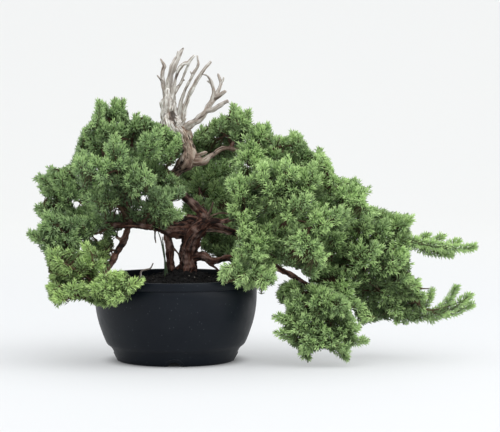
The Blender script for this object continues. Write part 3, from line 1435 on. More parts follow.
@dataclass
class FusedWood:
    """Limbs grown as one: tubes fused into one skin, then furrowed along their grain."""

    name: str
    node: str
    slot: str
    routes: dict
    finish: Finish
    voxel: float
    furrow: float  # the furrows' depth against the limb's radius
    deepest: float  # and the most it may be, in metres
    checks: float  # how sharp and long the checks in the wood are
    lumps: float = 0.16  # how far the limb swells and thins, against its radius
    breaks: float = 1.0  # how often the furrows are broken across the grain
    knots: tuple = ()
    bare_limbs: dict = field(default_factory=dict)
    bare_from: float = 1.0
    bare_to: float = 2.0
    bare_side: float = 42 * MM  # the bare wood stays left of this
    spacing: float = 1.6 * MM
    sides: int = 14
    neighbours: int = 26  # how many cross-sections are looked at round each place
    blend: float = 0.8 * MM  # how softly one limb's furrows pass into the next one's

    def build(self) -> None:
        """Fuses the limbs, furrows the skin and seats it in place of its solid."""
        stations = {name: Route(points).stations(self.spacing) for name, points in self.routes.items()}
        bm = self.fused(stations)
        self.sink_furrows(bm, stations)
        seat(solid_from(self.name, bm, self.finish.material()), self.slot, self.node)

    def fused(self, stations: dict) -> BMesh:
        """One closed skin round all the limbs.

        Args:
            stations: Each limb's cross-sections.

        Returns:
            The fused skin.
        """
        bm = bmesh.new()
        for each in stations.values():
            limb = bmesh.new()
            draw_tube(limb, each[::2] + ([each[-1]] if len(each) % 2 == 0 else []), self.sides)
            closed_outwards(limb)
            part = mesh_from("limb", limb)
            bm.from_mesh(part)
            bpy.data.meshes.remove(part)
        rough = solid_from("rough wood", bm)
        fuse = rough.modifiers.new("Fuse", "REMESH")
        fuse.mode = "VOXEL"
        fuse.voxel_size = self.voxel
        fuse.use_smooth_shade = True
        settle(rough)
        skin = bmesh.new()
        skin.from_mesh(rough.data)
        bpy.data.objects.remove(rough, do_unlink=True)
        return skin

    def sink_furrows(self, bm: BMesh, stations: dict) -> None:
        """Smooths the skin, then sinks its furrows, checks and knots.

        Args:
            bm: The fused skin.
            stations: Each limb's cross-sections.
        """
        every = [(name, each) for name, limb in stations.items() for each in limb]
        tree = KDTree(len(every))
        for i, (_, each) in enumerate(every):
            tree.insert(each.place, i)
        tree.balance()
        for _ in range(2):
            bmesh.ops.smooth_vert(
                bm, verts=bm.verts, factor=0.5, use_axis_x=True, use_axis_y=True, use_axis_z=True
            )
        grain = bm.verts.layers.float_vector.new("grain")
        relief = bm.verts.layers.float.new("relief")
        bare = bm.verts.layers.float.new("bare")
        bm.normal_update()
        moves = []
        for vert in bm.verts:
            near = {}
            for _, at, distance in tree.find_n(vert.co, self.neighbours):
                name, station = every[at]
                gap = distance - station.radius
                if name not in near or gap < near[name][0]:
                    near[name] = (gap, station)
            ranked = sorted(near.items(), key=lambda each: each[1][0])
            name, (least, station) = ranked[0]
            height = total = 0.0
            for other, (gap, limb) in ranked[:3]:
                weight = math.exp((least - gap) / self.blend)
                height += weight * self.height(self.along_grain(other, limb, vert.co))
                total += weight
            height /= total
            depth = min(self.furrow * station.radius, self.deepest)
            swell = noise.noise(vert.co * 62) + 0.8 * noise.noise(vert.co * 150)
            height += swell * self.lumps * station.radius / depth
            for *middle, wide, deep in self.knots:
                off = (vert.co / MM - Vector(middle)).length / wide
                height -= math.exp(-(off**2) * 2) * deep * MM / depth if off < 2 else 0
            vert[grain] = self.along_grain(name, station, vert.co)
            vert[relief] = 0.5 + 0.5 * max(-1, min(1, height))
            vert[bare] = self.bareness(name, vert.co)
            moves.append(vert.normal * height * depth)
        for vert, move in zip(bm.verts, moves):
            vert.co += move
        for face in bm.faces:
            face.smooth = True

    @staticmethod
    def along_grain(name: str, station: Station, place: Vector) -> Vector:
        """A place in millimetres across and along a limb's grain.

        Args:
            name: The limb's name, which moves the grain on.
            station: The limb's nearest cross-section.
            place: The place in metres.

        Returns:
            The two ways across and the way along.
        """
        off = (place - station.place) / MM
        walked = station.walked / MM + 31.0 * (hash_of(name) % 17)
        return Vector((off.dot(station.side), off.dot(station.up), walked))

    def height(self, inside: Vector) -> float:
        """How far the skin stands out at a place along the grain.

        Args:
            inside: The place across and along the grain.

        Returns:
            A height from about -1 to 1.
        """
        x, y, z = inside.x, inside.y, inside.z * self.breaks
        plates = noise.noise(Vector((x * 0.22, y * 0.22, z * 0.028)))
        ropes = 1 - 2.6 * abs(noise.noise(Vector((x * 0.42 + 9, y * 0.42, z * 0.035))))
        fine = noise.noise(Vector((x * 1.1, y * 1.1 + 5, z * 0.13)))
        return 0.55 * plates + self.checks * ropes + 0.32 * fine

    def bareness(self, name: str, place: Vector) -> float:
        """How bare of bark a limb is at a place.

        Args:
            name: The limb's name.
            place: The place in metres.

        Returns:
            0 under bark and 1 where the wood is bare.
        """
        base = self.bare_limbs.get(name, 0.0) * (0.8 + 0.4 * noise.noise(place * 90))
        share = (place.z - self.bare_from) / (self.bare_to - self.bare_from)
        high = min(max(share + 0.35 * noise.noise(place * 120), 0), 1)
        return max(base, high if place.x < self.bare_side else 0)


def hash_of(name: str) -> int:
    """A steady number for a name."""
    return sum((i + 1) * ord(letter) for i, letter in enumerate(name))


# Leaves


class Habit(Enum):
    """How a leafy branch carries its shoots."""

    BUSHY = "bushy"
    SLENDER = "slender"
    FAN = "fan"


@dataclass(frozen=True)
class Shoot:
    """One leafy shoot: its foot, where it heads, its length and its own tint."""

    foot: Vector
    heading: Vector
    length: float
    tint: float

    def at(self, share: float) -> Vector:
        """The place at a share of the shoot's length."""
        return self.foot + self.heading * self.length * share


def leafy_bmesh() -> tuple[BMesh, object]:
    """Starts a bmesh with the layers that the needles' finish reads.

    Returns:
        The bmesh and its leaf layer: the tint, the age and the pale band.
    """
    bm = bmesh.new()
    leaf = bm.verts.layers.float_vector.new("leaf")
    bm.verts.layers.float.new("vigour")
    bm.verts.layers.float.new("daylight")
    return bm, leaf


@dataclass(frozen=True)
class ShootPattern:
    """A shoot along +Z, bent towards +X, with its needles in whorls of three."""

    length: float  # from its foot to the tips of its last needles
    bend: float
    seed: int
    needle: float = 7.8 * MM
    last_needle: float = 6.2 * MM
    half_width: float = 1.02 * MM
    whorl_gap: float = 3.0 * MM
    stem_radius: float = 0.7 * MM
    stand_off: float = 0.3 * MM  # how far from the stem's middle a needle starts
    lean_low: float = 62.0
    lean_high: float = 20.0

    def axis(self, share: float) -> Vector:
        """A place on the shoot's middle line."""
        reach = self.length - self.last_needle * 0.9
        return Vector((self.bend * reach * share**2, 0, reach * share))

    def mesh(self) -> Mesh:
        """Builds the pattern.

        Returns:
            Its mesh, with the leaf and vigour attributes.
        """
        rng = random.Random(self.seed)
        bm, leaf = leafy_bmesh()
        reach = self.axis(1.0).z
        stem = bmesh.ops.create_cone(
            bm, cap_ends=True, segments=3, radius1=self.stem_radius, radius2=self.stem_radius * 0.5,
            depth=reach, matrix=Matrix.Translation((0, 0, reach / 2)),
        )["verts"]
        for vert in stem:
            share = vert.co.z / reach
            vert.co.x += self.axis(share).x
            vert[leaf] = (0, 0.4 + 0.5 * share, 0)
        for face in bm.faces:
            face.material_index = 1
        whorls = max(3, round(reach / self.whorl_gap) + 1)
        turn = rng.uniform(0, math.tau)
        for i in range(whorls):
            share = 0.06 + 0.94 * i / (whorls - 1)
            turn += math.radians(60 + rng.uniform(-9, 9))
            for k in range(3):
                angle = turn + k * math.tau / 3 + math.radians(rng.uniform(-10, 10))
                lean = self.lean_low + (self.lean_high - self.lean_low) * share**1.8
                lean = math.radians(lean + rng.uniform(-7, 7))
                size = self.needle + (self.last_needle - self.needle) * share**2
                size *= rng.uniform(0.86, 1.06) * (0.8 if i == 0 else 1)
                self.draw_needle(bm, leaf, share, angle, lean, size, rng.uniform(-0.4, 0.4))
        return mesh_from("shoot pattern", bm)

    def draw_needle(
        self, bm: BMesh, leaf: object, share: float, angle: float, lean: float,
        size: float, tint: float,
    ) -> None:
        """Adds one needle: pointed at both ends, broadest near its middle, with a keel.

        Args:
            bm: The pattern's bmesh.
            leaf: Its leaf layer.
            share: Where on the shoot it grows.
            angle: Which way round the shoot it points.
            lean: How far it leans out from the shoot, in radians.
            size: Its length.
            tint: Its own tint.
        """
        outwards = Vector((math.cos(angle), math.sin(angle), 0))
        ahead = (self.axis(share + 0.02) - self.axis(share)).normalized()
        heading = (outwards * math.sin(lean) + ahead * math.cos(lean)).normalized()
        foot = self.axis(share) + outwards * self.stand_off
        turn = heading.to_track_quat("Z", "Y").to_matrix().to_4x4()
        verts = bmesh.ops.create_cone(
            bm, cap_ends=True, segments=3, radius1=self.half_width, radius2=0, depth=size,
            matrix=Matrix.Translation(foot + heading * size * 0.5) @ turn,
        )["verts"]
        tip = max(verts, key=lambda vert: (vert.co - foot).length)
        sides = [vert for vert in verts if vert is not tip]
        keel = max(sides, key=lambda vert: (vert.co - foot).dot(outwards))
        for vert in sides:
            if vert is not keel:
                vert.co += heading * size * 0.38
                vert[leaf] = (tint, share * 0.6 + 0.16, 0.85)
        keel[leaf] = (tint, share * 0.6, 0)
        tip[leaf] = (tint, min(1, share * 0.6 + 0.42), 0.3)


@dataclass
class Canopy:
    """The outline that a part of the foliage fills along the sight lines, and its windows."""

    outline: list
    windows: list
    heart: tuple  # where the shoots seem to come from, in millimetres on the sheet
    behind: list = field(default_factory=list)
    behind_depth: float = 14 * MM
    needle_reach: float = 2.6 * MM  # how far the needles stand out at a shoot's sides
    sharp: float = 0.45  # how far an outline turns at an outer point, as a cosine

    def __post_init__(self) -> None:
        """Keeps each ring's sides ready for the test."""
        self.sides = [self.sides_of(ring) for ring in (self.outline, *self.windows)]
        self.behind_sides = [self.sides_of(ring) for ring in self.behind]

    @staticmethod
    def sides_of(ring: list) -> tuple:
        """The start and end of each side of a ring."""
        start = np.array(ring, float)
        return start, np.roll(start, -1, axis=0)

    @staticmethod
    def is_inside(sides: tuple, x: float, z: float) -> bool:
        """Whether a place on the sheet is inside a ring.

        Args:
            sides: The starts and ends of the ring's sides.
            x: Millimetres on the sheet.
            z: Millimetres on the sheet.

        Returns:
            True inside the ring.
        """
        start, end = sides
        crossed = (start[:, 1] > z) != (end[:, 1] > z)
        a, b = start[crossed], end[crossed]
        at = a[:, 0] + (z - a[:, 1]) / (b[:, 1] - a[:, 1]) * (b[:, 0] - a[:, 0])
        return np.count_nonzero(at > x) % 2 == 1

    def is_behind(self, x: float, z: float) -> bool:
        """Whether leaves may only stand behind the wood at a place on the sheet."""
        return any(self.is_inside(sides, x, z) for sides in self.behind_sides)

    def flow(self, place: Vector) -> Vector:
        """The way from the heart of the foliage to a place, along the sheet.

        Args:
            place: The place in metres.

        Returns:
            A way of length 1.
        """
        x, z = self.on_sheet(place)
        away = Vector((x - self.heart[0], 0, z - self.heart[1]))
        return away.normalized() if away.length > 1 else Vector((0, 0, 1))

    @staticmethod
    def on_sheet(place: Vector) -> tuple[float, float]:
        """Where the sight line through a place meets the upright sheet at y = 0.

        Args:
            place: A place in metres.

        Returns:
            Its x and z on the sheet, in millimetres.
        """
        share = VIEW_PLACE.y / (VIEW_PLACE.y - place.y)
        x = VIEW_PLACE.x + (place.x - VIEW_PLACE.x) * share
        z = VIEW_PLACE.z + (place.z - VIEW_PLACE.z) * share
        return x / MM, z / MM

    @staticmethod
    def off_sheet(x: float, z: float, depth: float) -> Vector:
        """The place at a depth whose sight line passes the sheet at x and z.

        Args:
            x: Millimetres on the sheet.
            z: Millimetres on the sheet.
            depth: The place's y, in metres.

        Returns:
            The place, in metres.
        """
        share = (depth - VIEW_PLACE.y) / -VIEW_PLACE.y
        flat = Vector((x * MM, 0, z * MM))
        found = VIEW_PLACE + (flat - VIEW_PLACE) * share
        return Vector((found.x, depth, found.z))

    def holds(self, x: float, z: float) -> bool:
        """Whether a place on the sheet is inside the outline and in no window."""
        outline, *windows = self.sides
        return self.is_inside(outline, x, z) and not any(self.is_inside(w, x, z) for w in windows)

    def covers(self, place: Vector) -> bool:
        """Whether leaves may stand at a place, by the sight line through it."""
        x, z = self.on_sheet(place)
        return self.holds(x, z) and not (place.y < self.behind_depth and self.is_behind(x, z))

    def covers_shoot(self, foot: Vector, heading: Vector, size: float) -> bool:
        """Whether a shoot and the needles at its sides stay inside the outline.

        Args:
            foot: Where it stands.
            heading: Where it heads.
            size: Its length.

        Returns:
            Whether the sight lines through it all pass where leaves may stand.
        """
        side = heading.cross(Vector((0, 1, 0)))
        side = (side.normalized() if side.length > 0.1 else Vector((1, 0, 0))) * self.needle_reach
        middle = foot + heading * size * 0.7
        return all(map(self.covers, (foot + heading * size, middle + side, middle - side)))

    def teeth(self) -> list[tuple[float, float, float, float]]:
        """The outline's outer points.

        Returns:
            Each point's x and z, and the x and z of the way it points.
        """
        ring = [Vector(point) for point in self.outline]
        area = sum(a.cross(b) for a, b in zip(ring, ring[1:] + ring[:1]))
        found = []
        for before, here, after in zip(ring[-1:] + ring[:-1], ring, ring[1:] + ring[:1]):
            arrive, leave = (here - before).normalized(), (after - here).normalized()
            if arrive.cross(leave) * area > 0 and arrive.dot(leave) < self.sharp:
                heading = (arrive - leave).normalized()
                found.append((here.x, here.y, heading.x, heading.y))
        return found


@dataclass
class Obstacles:
    """What the shoots keep clear of: the pot, the soil, the bench, and the wood."""

    wood: BVHTree
    pot_room: float = 1.5 * MM  # how far a shoot keeps from the pot's wall
    pot_height: float = 106 * MM  # above this, and beyond the next, the pot is out of the way
    pot_reach: float = 104 * MM
    soil_reach: float = 94 * MM
    room: float = 2 * MM  # over the soil and before the wood
    bench_room: float = 3 * MM
    deepest: float = 128 * MM  # how far back a shoot may reach

    @classmethod
    def of_frame(cls) -> "Obstacles":
        """Reads the wood's solids from the frame.

        Returns:
            The obstacles round the foliage.
        """
        bm = bmesh.new()
        for name in ("trunk_and_limbs", "dead_crown"):
            bm.from_mesh(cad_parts[name].data)
        tree = BVHTree.FromBMesh(bm)
        bm.free()
        return cls(tree)

    def is_free(self, shoot: Shoot) -> bool:
        """Whether a shoot's outer part crosses nothing.

        Args:
            shoot: The shoot.

        Returns:
            True where it has room.
        """
        for share in (0.4, 0.7, 1.0):
            place = shoot.at(share)
            if place.z < self.bench_room or place.y > self.deepest or self.in_pot(place):
                return False
        hit = self.wood.ray_cast(shoot.at(0.45), shoot.heading, shoot.length * 0.55 + self.room)
        return hit[0] is None

    def in_pot(self, place: Vector) -> bool:
        """Whether a place is in the pot's wall or in the soil.

        Args:
            place: The place in metres.

        Returns:
            True where a shoot can't be.
        """
        off = math.hypot(place.x, place.y)
        if place.z > self.pot_height or off > self.pot_reach:
            return False
        if off < self.soil_reach:
            return place.z < ground(place.x, place.y) + self.room
        return off < float(np.interp(place.z / MM, *POT_OUTSIDE)) * MM + self.pot_room


@dataclass
class Crowd:
    """Keeps the leafy clusters evenly apart."""

    room: float
    cells: dict = field(default_factory=dict)

    def admits(self, place: Vector) -> bool:
        """Takes a place if none that is taken is too near.

        Args:
            place: The place.

        Returns:
            Whether it was taken.
        """
        key = [int(c // self.room) for c in place]
        for step in range(27):
            cell = (key[0] + step % 3 - 1, key[1] + step // 3 % 3 - 1, key[2] + step // 9 - 1)
            if any((other - place).length < self.room for other in self.cells.get(cell, ())):
                return False
        self.cells.setdefault(tuple(key), []).append(place)
        return True


@dataclass
class LeafyBranch:
    """One leafy branch: twigs that stand on their limb, their side twigs and their shoots."""

    number: str
    group: str
    root: Vector
    twigs: list
    canopy: Canopy
    obstacles: Obstacles
    habit: Habit
    patterns: list
    crowd: Crowd
    radii: tuple = (1.6, 1.2, 0.6)  # of a twig at its start, middle and tip, in millimetres
    spray_radii: tuple = (1.2, 1.0, 0.8, 0.6, 0.5)
    spacing: float = 2.4 * MM
    spray_gap: float = 2.1 * MM  # how far apart a spray's shoots stand
    slender_gap: float = 3.0 * MM
    slender_bare: float = 0.22  # the share of a slender spray that has no shoots
    bare: tuple = (0.34, 0.2)  # and of the first twig and the others of a round branch
    ways: int = 9  # how many side twigs are tried round each cross-section
    laterals: int = 5  # how many shoots stand round a side twig
    bushy_reach: float = 12.5 * MM  # how long the side twigs are
    fan_reach: float = 8.5 * MM
    shortest: float = 8.5 * MM  # the shortest shoot that is set
    spray_end: float = 13 * MM  # the shoot at a spray's tip
    spray_bare: float = 7 * MM  # how much of a spray before its tip has no other shoots
    slender_end: float = 18 * MM
    cluster_end: tuple = (18, 22)  # the shoot at a cluster's tip, in millimetres
    lateral: tuple = (13.5, 17)  # and those round it
    ripening: float = 70 * MM  # how far from its limb a twig's bark turns green
    routes: list = field(default_factory=list)
    stems: list = field(default_factory=list)
    shoots: list = field(default_factory=list)

    def __post_init__(self) -> None:
        """Gives the branch its own steady chance."""
        self.rng = random.Random(hash_of(self.group + self.number))

    def draw_routes(self) -> None:
        """Lays the twigs' routes: the first from the limb, the others from the first."""
        for middle, tip in self.twigs:
            start = self.routes[0].at(0.33)[0] / MM if self.routes else self.root
            places = zip((start, middle, tip), self.radii)
            self.routes.append(Route([(*place, radius) for place, radius in places]))
        self.leafy = [route.at(i / 16)[0] for route in self.routes for i in range(4, 17)]
        self.flat = np.array([Canopy.on_sheet(place) for place in self.leafy])

    def grow(self) -> None:
        """Grows the side twigs and shoots along every twig."""
        for i, route in enumerate(self.routes):
            stations = route.stations(self.spacing)
            self.stems.append(stations)
            if self.habit is Habit.SLENDER:
                self.grow_slender(stations)
            else:
                self.grow_round(stations, self.bare[min(i, 1)])

    def grow_round(self, stations: list[Station], bare: float) -> None:
        """Sets side twigs all round a twig, where there is room.

        Args:
            stations: The twig's cross-sections.
            bare: The share of its length that stays without leaves.
        """
        length = stations[-1].walked
        turn = self.rng.uniform(0, math.tau)
        reach = self.fan_reach if self.habit is Habit.FAN else self.bushy_reach
        for station in reversed(stations):
            share = (station.walked / length - bare) / (1 - bare)
            if share < 0:
                break
            turn += GOLDEN_ANGLE
            for k in range(self.ways):
                angle = turn + k * math.tau / self.ways
                radial = station.side * math.cos(angle) + station.up * math.sin(angle)
                lean = radial + station.along * (0.4 + 0.8 * share) + Vector((0, 0, 0.2))
                heading = self.spread_of(lean + self.canopy.flow(station.place) * 0.45)
                far = reach * (1 - 0.4 * share) * (0.85 + 0.25 * radial.z)
                self.cluster(station.place, heading, far * self.rng.uniform(0.7, 1.15))

    @staticmethod
    def both_sides(stations: list[Station], start: float, end: float, gap: float) -> Iterator[tuple]:
        """Goes along a twig in even steps, from one of its sides to the other.

        Args:
            stations: The twig's cross-sections.
            start: Where the steps start, in metres along it.
            end: Where they end.
            gap: How far apart they are.

        Yields:
            The share of its length, the cross-section, and the way out of its side.
        """
        walked, side = start, 1
        while walked < end:
            station = min(stations, key=lambda each: abs(each.walked - walked))
            across = station.along.cross(Vector((0, -1, 0))).normalized() * side
            yield walked / stations[-1].walked, station, across
            walked += gap
            side = -side

    def spread_of(self, heading: Vector) -> Vector:
        """Turns a heading into the flat fan where the branch is one.

        Args:
            heading: The way a twig or shoot would take.

        Returns:
            The way it takes, of length 1.
        """
        if self.habit is Habit.FAN:
            heading = Vector((heading.x * 1.25, heading.y * 0.45, heading.z * 0.9))
        return heading.normalized()

    def grow_spray(self, places: list[Vector]) -> None:
        """Sets small shoots on the two sides of a thin spray past the outline.

        Args:
            places: Where its stem runs, from its twig to its tip, in metres.
        """
        points = zip(places, self.spray_radii)
        route = Route([(*(place / MM), radius) for place, radius in points])
        stations = route.stations(self.spacing)
        self.stems.append(stations)
        start = (places[1] - places[0]).length * 0.4
        end = stations[-1].walked - self.spray_bare
        for share, station, across in self.both_sides(stations, start, end, self.spray_gap):
            roam = Vector((0, self.rng.uniform(-0.8, 0.8), 0))
            heading = (station.along * 1.35 + across + roam).normalized()
            size = (13.5 - 4.5 * share) * MM
            shoot = Shoot(station.place, heading, size, self.rng.uniform(0, 0.8))
            if self.obstacles.is_free(shoot):
                self.shoots.append(shoot)
        ahead = stations[-1].along
        foot = stations[-1].place - ahead * self.spray_end
        self.shoots.append(Shoot(foot, ahead, self.spray_end, 0.5))

    def grow_slender(self, stations: list[Station]) -> None:
        """Sets shoots straight on a long thin spray, alternately on its two sides.

        Args:
            stations: The spray's cross-sections.
        """
        tip = stations[-1]
        start = tip.walked * self.slender_bare
        for share, station, across in self.both_sides(stations, start, tip.walked, self.slender_gap):
            heading = station.along * 1.5 + across + Vector((0, self.rng.uniform(-0.7, 0.7), 0.15))
            size = (18 - 6 * share) * MM * self.rng.uniform(0.85, 1.1)
            self.add_shoot(station.place, heading.normalized(), size)
            roam = Vector((0, self.rng.uniform(-1, 1), self.rng.uniform(-0.4, 1)))
            above = (station.along * 1.4 + roam).normalized()
            self.add_shoot(station.place, above, size * 0.85)
        self.add_shoot(tip.place - tip.along * 4 * MM, tip.along, self.slender_end)

    def cluster(self, foot: Vector, heading: Vector, reach: float) -> None:
        """Grows a side twig with a shoot at its end and others round it.

        Args:
            foot: Where it leaves its twig.
            heading: Where it heads.
            reach: How long it is.
        """
        tip = foot + heading * reach
        if not self.canopy.covers(tip):
            tip = foot + heading * reach * 0.5
            if not self.canopy.covers(tip):
                return
        if not self.crowd.admits(tip):
            return
        self.add_stem(foot, tip, heading)
        mood = self.rng.uniform(-1, 1)
        size = self.rng.uniform(*self.cluster_end) * MM
        self.add_shoot(tip - heading * 2 * MM, heading, size, mood)
        across = heading.orthogonal().normalized()
        turn = self.rng.uniform(0, math.tau)
        for i in range(self.laterals):
            turn += GOLDEN_ANGLE + self.rng.uniform(-0.3, 0.3)
            share = i / (self.laterals - 1)
            place = foot.lerp(tip, 0.35 + 0.65 * share)
            out = Matrix.Rotation(turn, 3, heading) @ across
            wide = (1.15 - 0.45 * share) * self.rng.uniform(0.85, 1.15)
            away = self.spread_of(heading + out * wide + Vector((0, 0, 0.12)))
            self.add_shoot(place, away, self.rng.uniform(*self.lateral) * MM, mood)

    def add_stem(self, foot: Vector, tip: Vector, heading: Vector) -> None:
        """Adds a thin side twig of three cross-sections.

        Args:
            foot: Where it leaves its twig.
            tip: Where it ends.
            heading: Where it heads.
        """
        side = heading.orthogonal().normalized()
        sections = ((0, 0.85), (0.5, 0.75), (1, 0.6))
        self.stems.append(
            [Station(foot.lerp(tip, share), heading, side, radius * MM) for share, radius in sections]
        )

    def add_shoot(self, foot: Vector, heading: Vector, size: float, mood: float = 0.0) -> None:
        """Adds a shoot if it has room, shortened as far as the outline asks.

        Args:
            foot: Where it stands.
            heading: Where it heads.
            size: Its full length.
            mood: How fresh its cluster is, from -1 to 1.
        """
        while size > self.shortest:
            shoot = Shoot(foot, heading, size, 0.65 * mood + self.rng.uniform(-0.35, 0.35))
            if self.canopy.covers_shoot(foot, heading, size):
                if self.obstacles.is_free(shoot):
                    self.shoots.append(shoot)
                return
            size *= 0.84

    def nearest(self, x: float, z: float) -> tuple[float, Vector]:
        """The twigs' nearest leafy place to a place on the sheet.

        Args:
            x: Millimetres on the sheet.
            z: Millimetres on the sheet.

        Returns:
            How far off it shows, in millimetres, and the place itself.
        """
        gaps = np.hypot(self.flat[:, 0] - x, self.flat[:, 1] - z)
        at = int(gaps.argmin())
        return float(gaps[at]), self.leafy[at]

    def build(self, materials: tuple, daylight: "Daylight") -> Object:
        """Builds the branch's twigs and shoots as one piece.

        Args:
            materials: The needles' finish and the twigs'.
            daylight: How much light reaches each place.

        Returns:
            The finished piece.
        """
        bm, leaf = leafy_bmesh()
        for i, stations in enumerate(self.stems):
            draw_tube(bm, stations, 6 if i < len(self.routes) else 3)
        bmesh.ops.recalc_face_normals(bm, faces=bm.faces)
        start = self.routes[0].at(0)[0]
        for vert in bm.verts:
            vert[leaf] = (0, min(1, (vert.co - start).length / self.ripening), 0)
        for face in bm.faces:
            face.material_index = 1
            face.smooth = True
        feet = daylight.at([shoot.at(0) for shoot in self.shoots])
        tips = daylight.at([shoot.at(1) for shoot in self.shoots])
        for shoot, low, high in zip(self.shoots, feet, tips):
            self.place_shoot(bm, shoot, low, high)
        bm.verts.layers.int.remove(bm.verts.layers.int["corner"])
        return solid_from(f"leafy_{self.group}_{self.number}", bm, *materials)

    def place_shoot(self, bm: BMesh, shoot: Shoot, low: float, high: float) -> None:
        """Copies the pattern of the nearest length to a shoot's place.

        Args:
            bm: The branch's bmesh.
            shoot: The shoot.
            low: The daylight at its foot.
            high: The daylight at its tip.
        """
        length, mesh = min(
            self.patterns,
            key=lambda each: abs(each[0] - shoot.length) + self.rng.uniform(0, 1.2) * MM,
        )
        up = Vector((0, 0, 1)) - shoot.heading * shoot.heading.z
        side = up.normalized() if up.length > 0.05 else shoot.heading.orthogonal().normalized()
        across = shoot.heading.cross(side)
        turn = Matrix((side, across, shoot.heading)).transposed().to_4x4()
        stretch = Matrix.Diagonal((1, 1, shoot.length / length, 1))
        made = mesh.copy()
        made.transform(Matrix.Translation(shoot.foot) @ turn @ stretch)
        count = len(made.vertices)
        values = np.empty(count * 3, np.float32)
        made.attributes["leaf"].data.foreach_get("vector", values)
        values[0::3] += shoot.tint * 0.85
        made.attributes["leaf"].data.foreach_set("vector", values)
        made.attributes["vigour"].data.foreach_set("value", [vigour_at(shoot.at(1))] * count)
        light = low + (high - low) * values[1::3]
        made.attributes["daylight"].data.foreach_set("value", light.astype(np.float32))
        bm.from_mesh(made)
        bpy.data.meshes.remove(made)


def vigour_at(place: Vector) -> float:
    """How fresh and bright the leaves are at a place.

    Args:
        place: The place in metres.

    Returns:
        0 where they are dull and 1 where they are fresh.
    """
    value = 0.62 + 0.5 * noise.noise(place * 22)
    for x, y, z, wide, lift in FRESH_PATCHES:
        off = (place / MM - Vector((x, y, z))).length / wide
        value += lift * math.exp(-(off**2))
    return min(max(value, 0), 1)


@dataclass
class Daylight:
    """How much daylight reaches a place among the shoots, by how crowded the ways out are."""

    shoots: list
    cell: float = 6 * MM
    loss: float = 0.30  # how much of the light each shoot in the way takes
    steps: tuple = (10, 16, 23, 31, 41)  # how far along each way the crowd is read, in millimetres
    ways: tuple = (
        (0, 0, 1, 1.0), (0.7, 0, 0.7, 0.8), (-0.7, 0, 0.7, 0.8), (0, 0.7, 0.7, 0.8),
        (0, -0.7, 0.7, 0.8), (1, 0, 0, 0.5), (-1, 0, 0, 0.5), (0, 1, 0, 0.5), (0, -1, 0, 0.5),
        (0, 0, -1, 0.3),
    )

    def __post_init__(self) -> None:
        """Counts the shoots in each cell."""
        shares = (0.35, 0.65, 0.95)
        places = np.array([shoot.at(share) for shoot in self.shoots for share in shares])
        margin = (self.steps[-1] + 8) * MM
        self.low = places.min(axis=0) - margin
        shape = ((places.max(axis=0) + margin - self.low) / self.cell).astype(int) + 1
        self.crowd = np.zeros(shape)
        np.add.at(self.crowd, self.cells_of(places), 1)

    def cells_of(self, places: np.ndarray) -> tuple:
        """The cells that places lie in."""
        return tuple(((places - self.low) / self.cell).astype(int).T)

    def at(self, places: list) -> np.ndarray:
        """The daylight at places, from 0 to 1.

        Args:
            places: The places.

        Returns:
            One share for each.
        """
        if not places:
            return np.empty(0)
        places = np.array(places)
        total = 0
        for x, y, z, weight in self.ways:
            way = np.array((x, y, z))
            met = sum(self.crowd[self.cells_of(places + way * step * MM)] for step in self.steps)
            total = total + weight * np.exp(-self.loss * met)
        return total / sum(way[3] for way in self.ways)


@dataclass
class Cover:
    """How many shoots hide each small cell of the sheet."""

    low: tuple
    high: tuple
    cell: float = 1.6  # millimetres
    reach: float = 2.6  # how far from its middle line a shoot hides the sheet
    layers: int = 4  # how many shoots close the view through a cell
    shares: tuple = (0.05, 0.2, 0.35, 0.5, 0.65, 0.8)  # where on a shoot the sheet is hidden

    def __post_init__(self) -> None:
        """Starts with nothing hidden."""
        columns, rows = ((np.array(self.high) - self.low) / self.cell).astype(int) + 9
        self.hidden = np.zeros((columns, rows), int)
        near = int(self.reach / self.cell)
        self.disc = [
            (i, j) for i in range(-near, near + 1) for j in range(-near, near + 1)
            if i * i + j * j <= (self.reach / self.cell) ** 2
        ]

    def cell_of(self, x: float, z: float) -> tuple[int, int]:
        """The cell that a place on the sheet lies in."""
        return round((x - self.low[0]) / self.cell), round((z - self.low[1]) / self.cell)

    def hide(self, shoots: list) -> None:
        """Counts shoots into the cells that they hide.

        Args:
            shoots: The shoots.
        """
        for shoot in shoots:
            cells = set()
            for share in self.shares:
                column, row = self.cell_of(*Canopy.on_sheet(shoot.at(share)))
                cells.update((column + i, row + j) for i, j in self.disc)
            for column, row in cells:
                if 0 <= column < len(self.hidden) and 0 <= row < len(self.hidden[0]):
                    self.hidden[column, row] += 1

    def open_places(self) -> list[tuple[float, float]]:
        """The middles of the cells that too few shoots hide, from left to right."""
        found = np.argwhere(self.hidden[::2, ::2] < self.layers) * 2
        return [(self.low[0] + c * self.cell, self.low[1] + r * self.cell) for c, r in found]

    def is_open(self, x: float, z: float) -> bool:
        """Whether too few shoots hide a place on the sheet."""
        return self.hidden[self.cell_of(x, z)] < self.layers


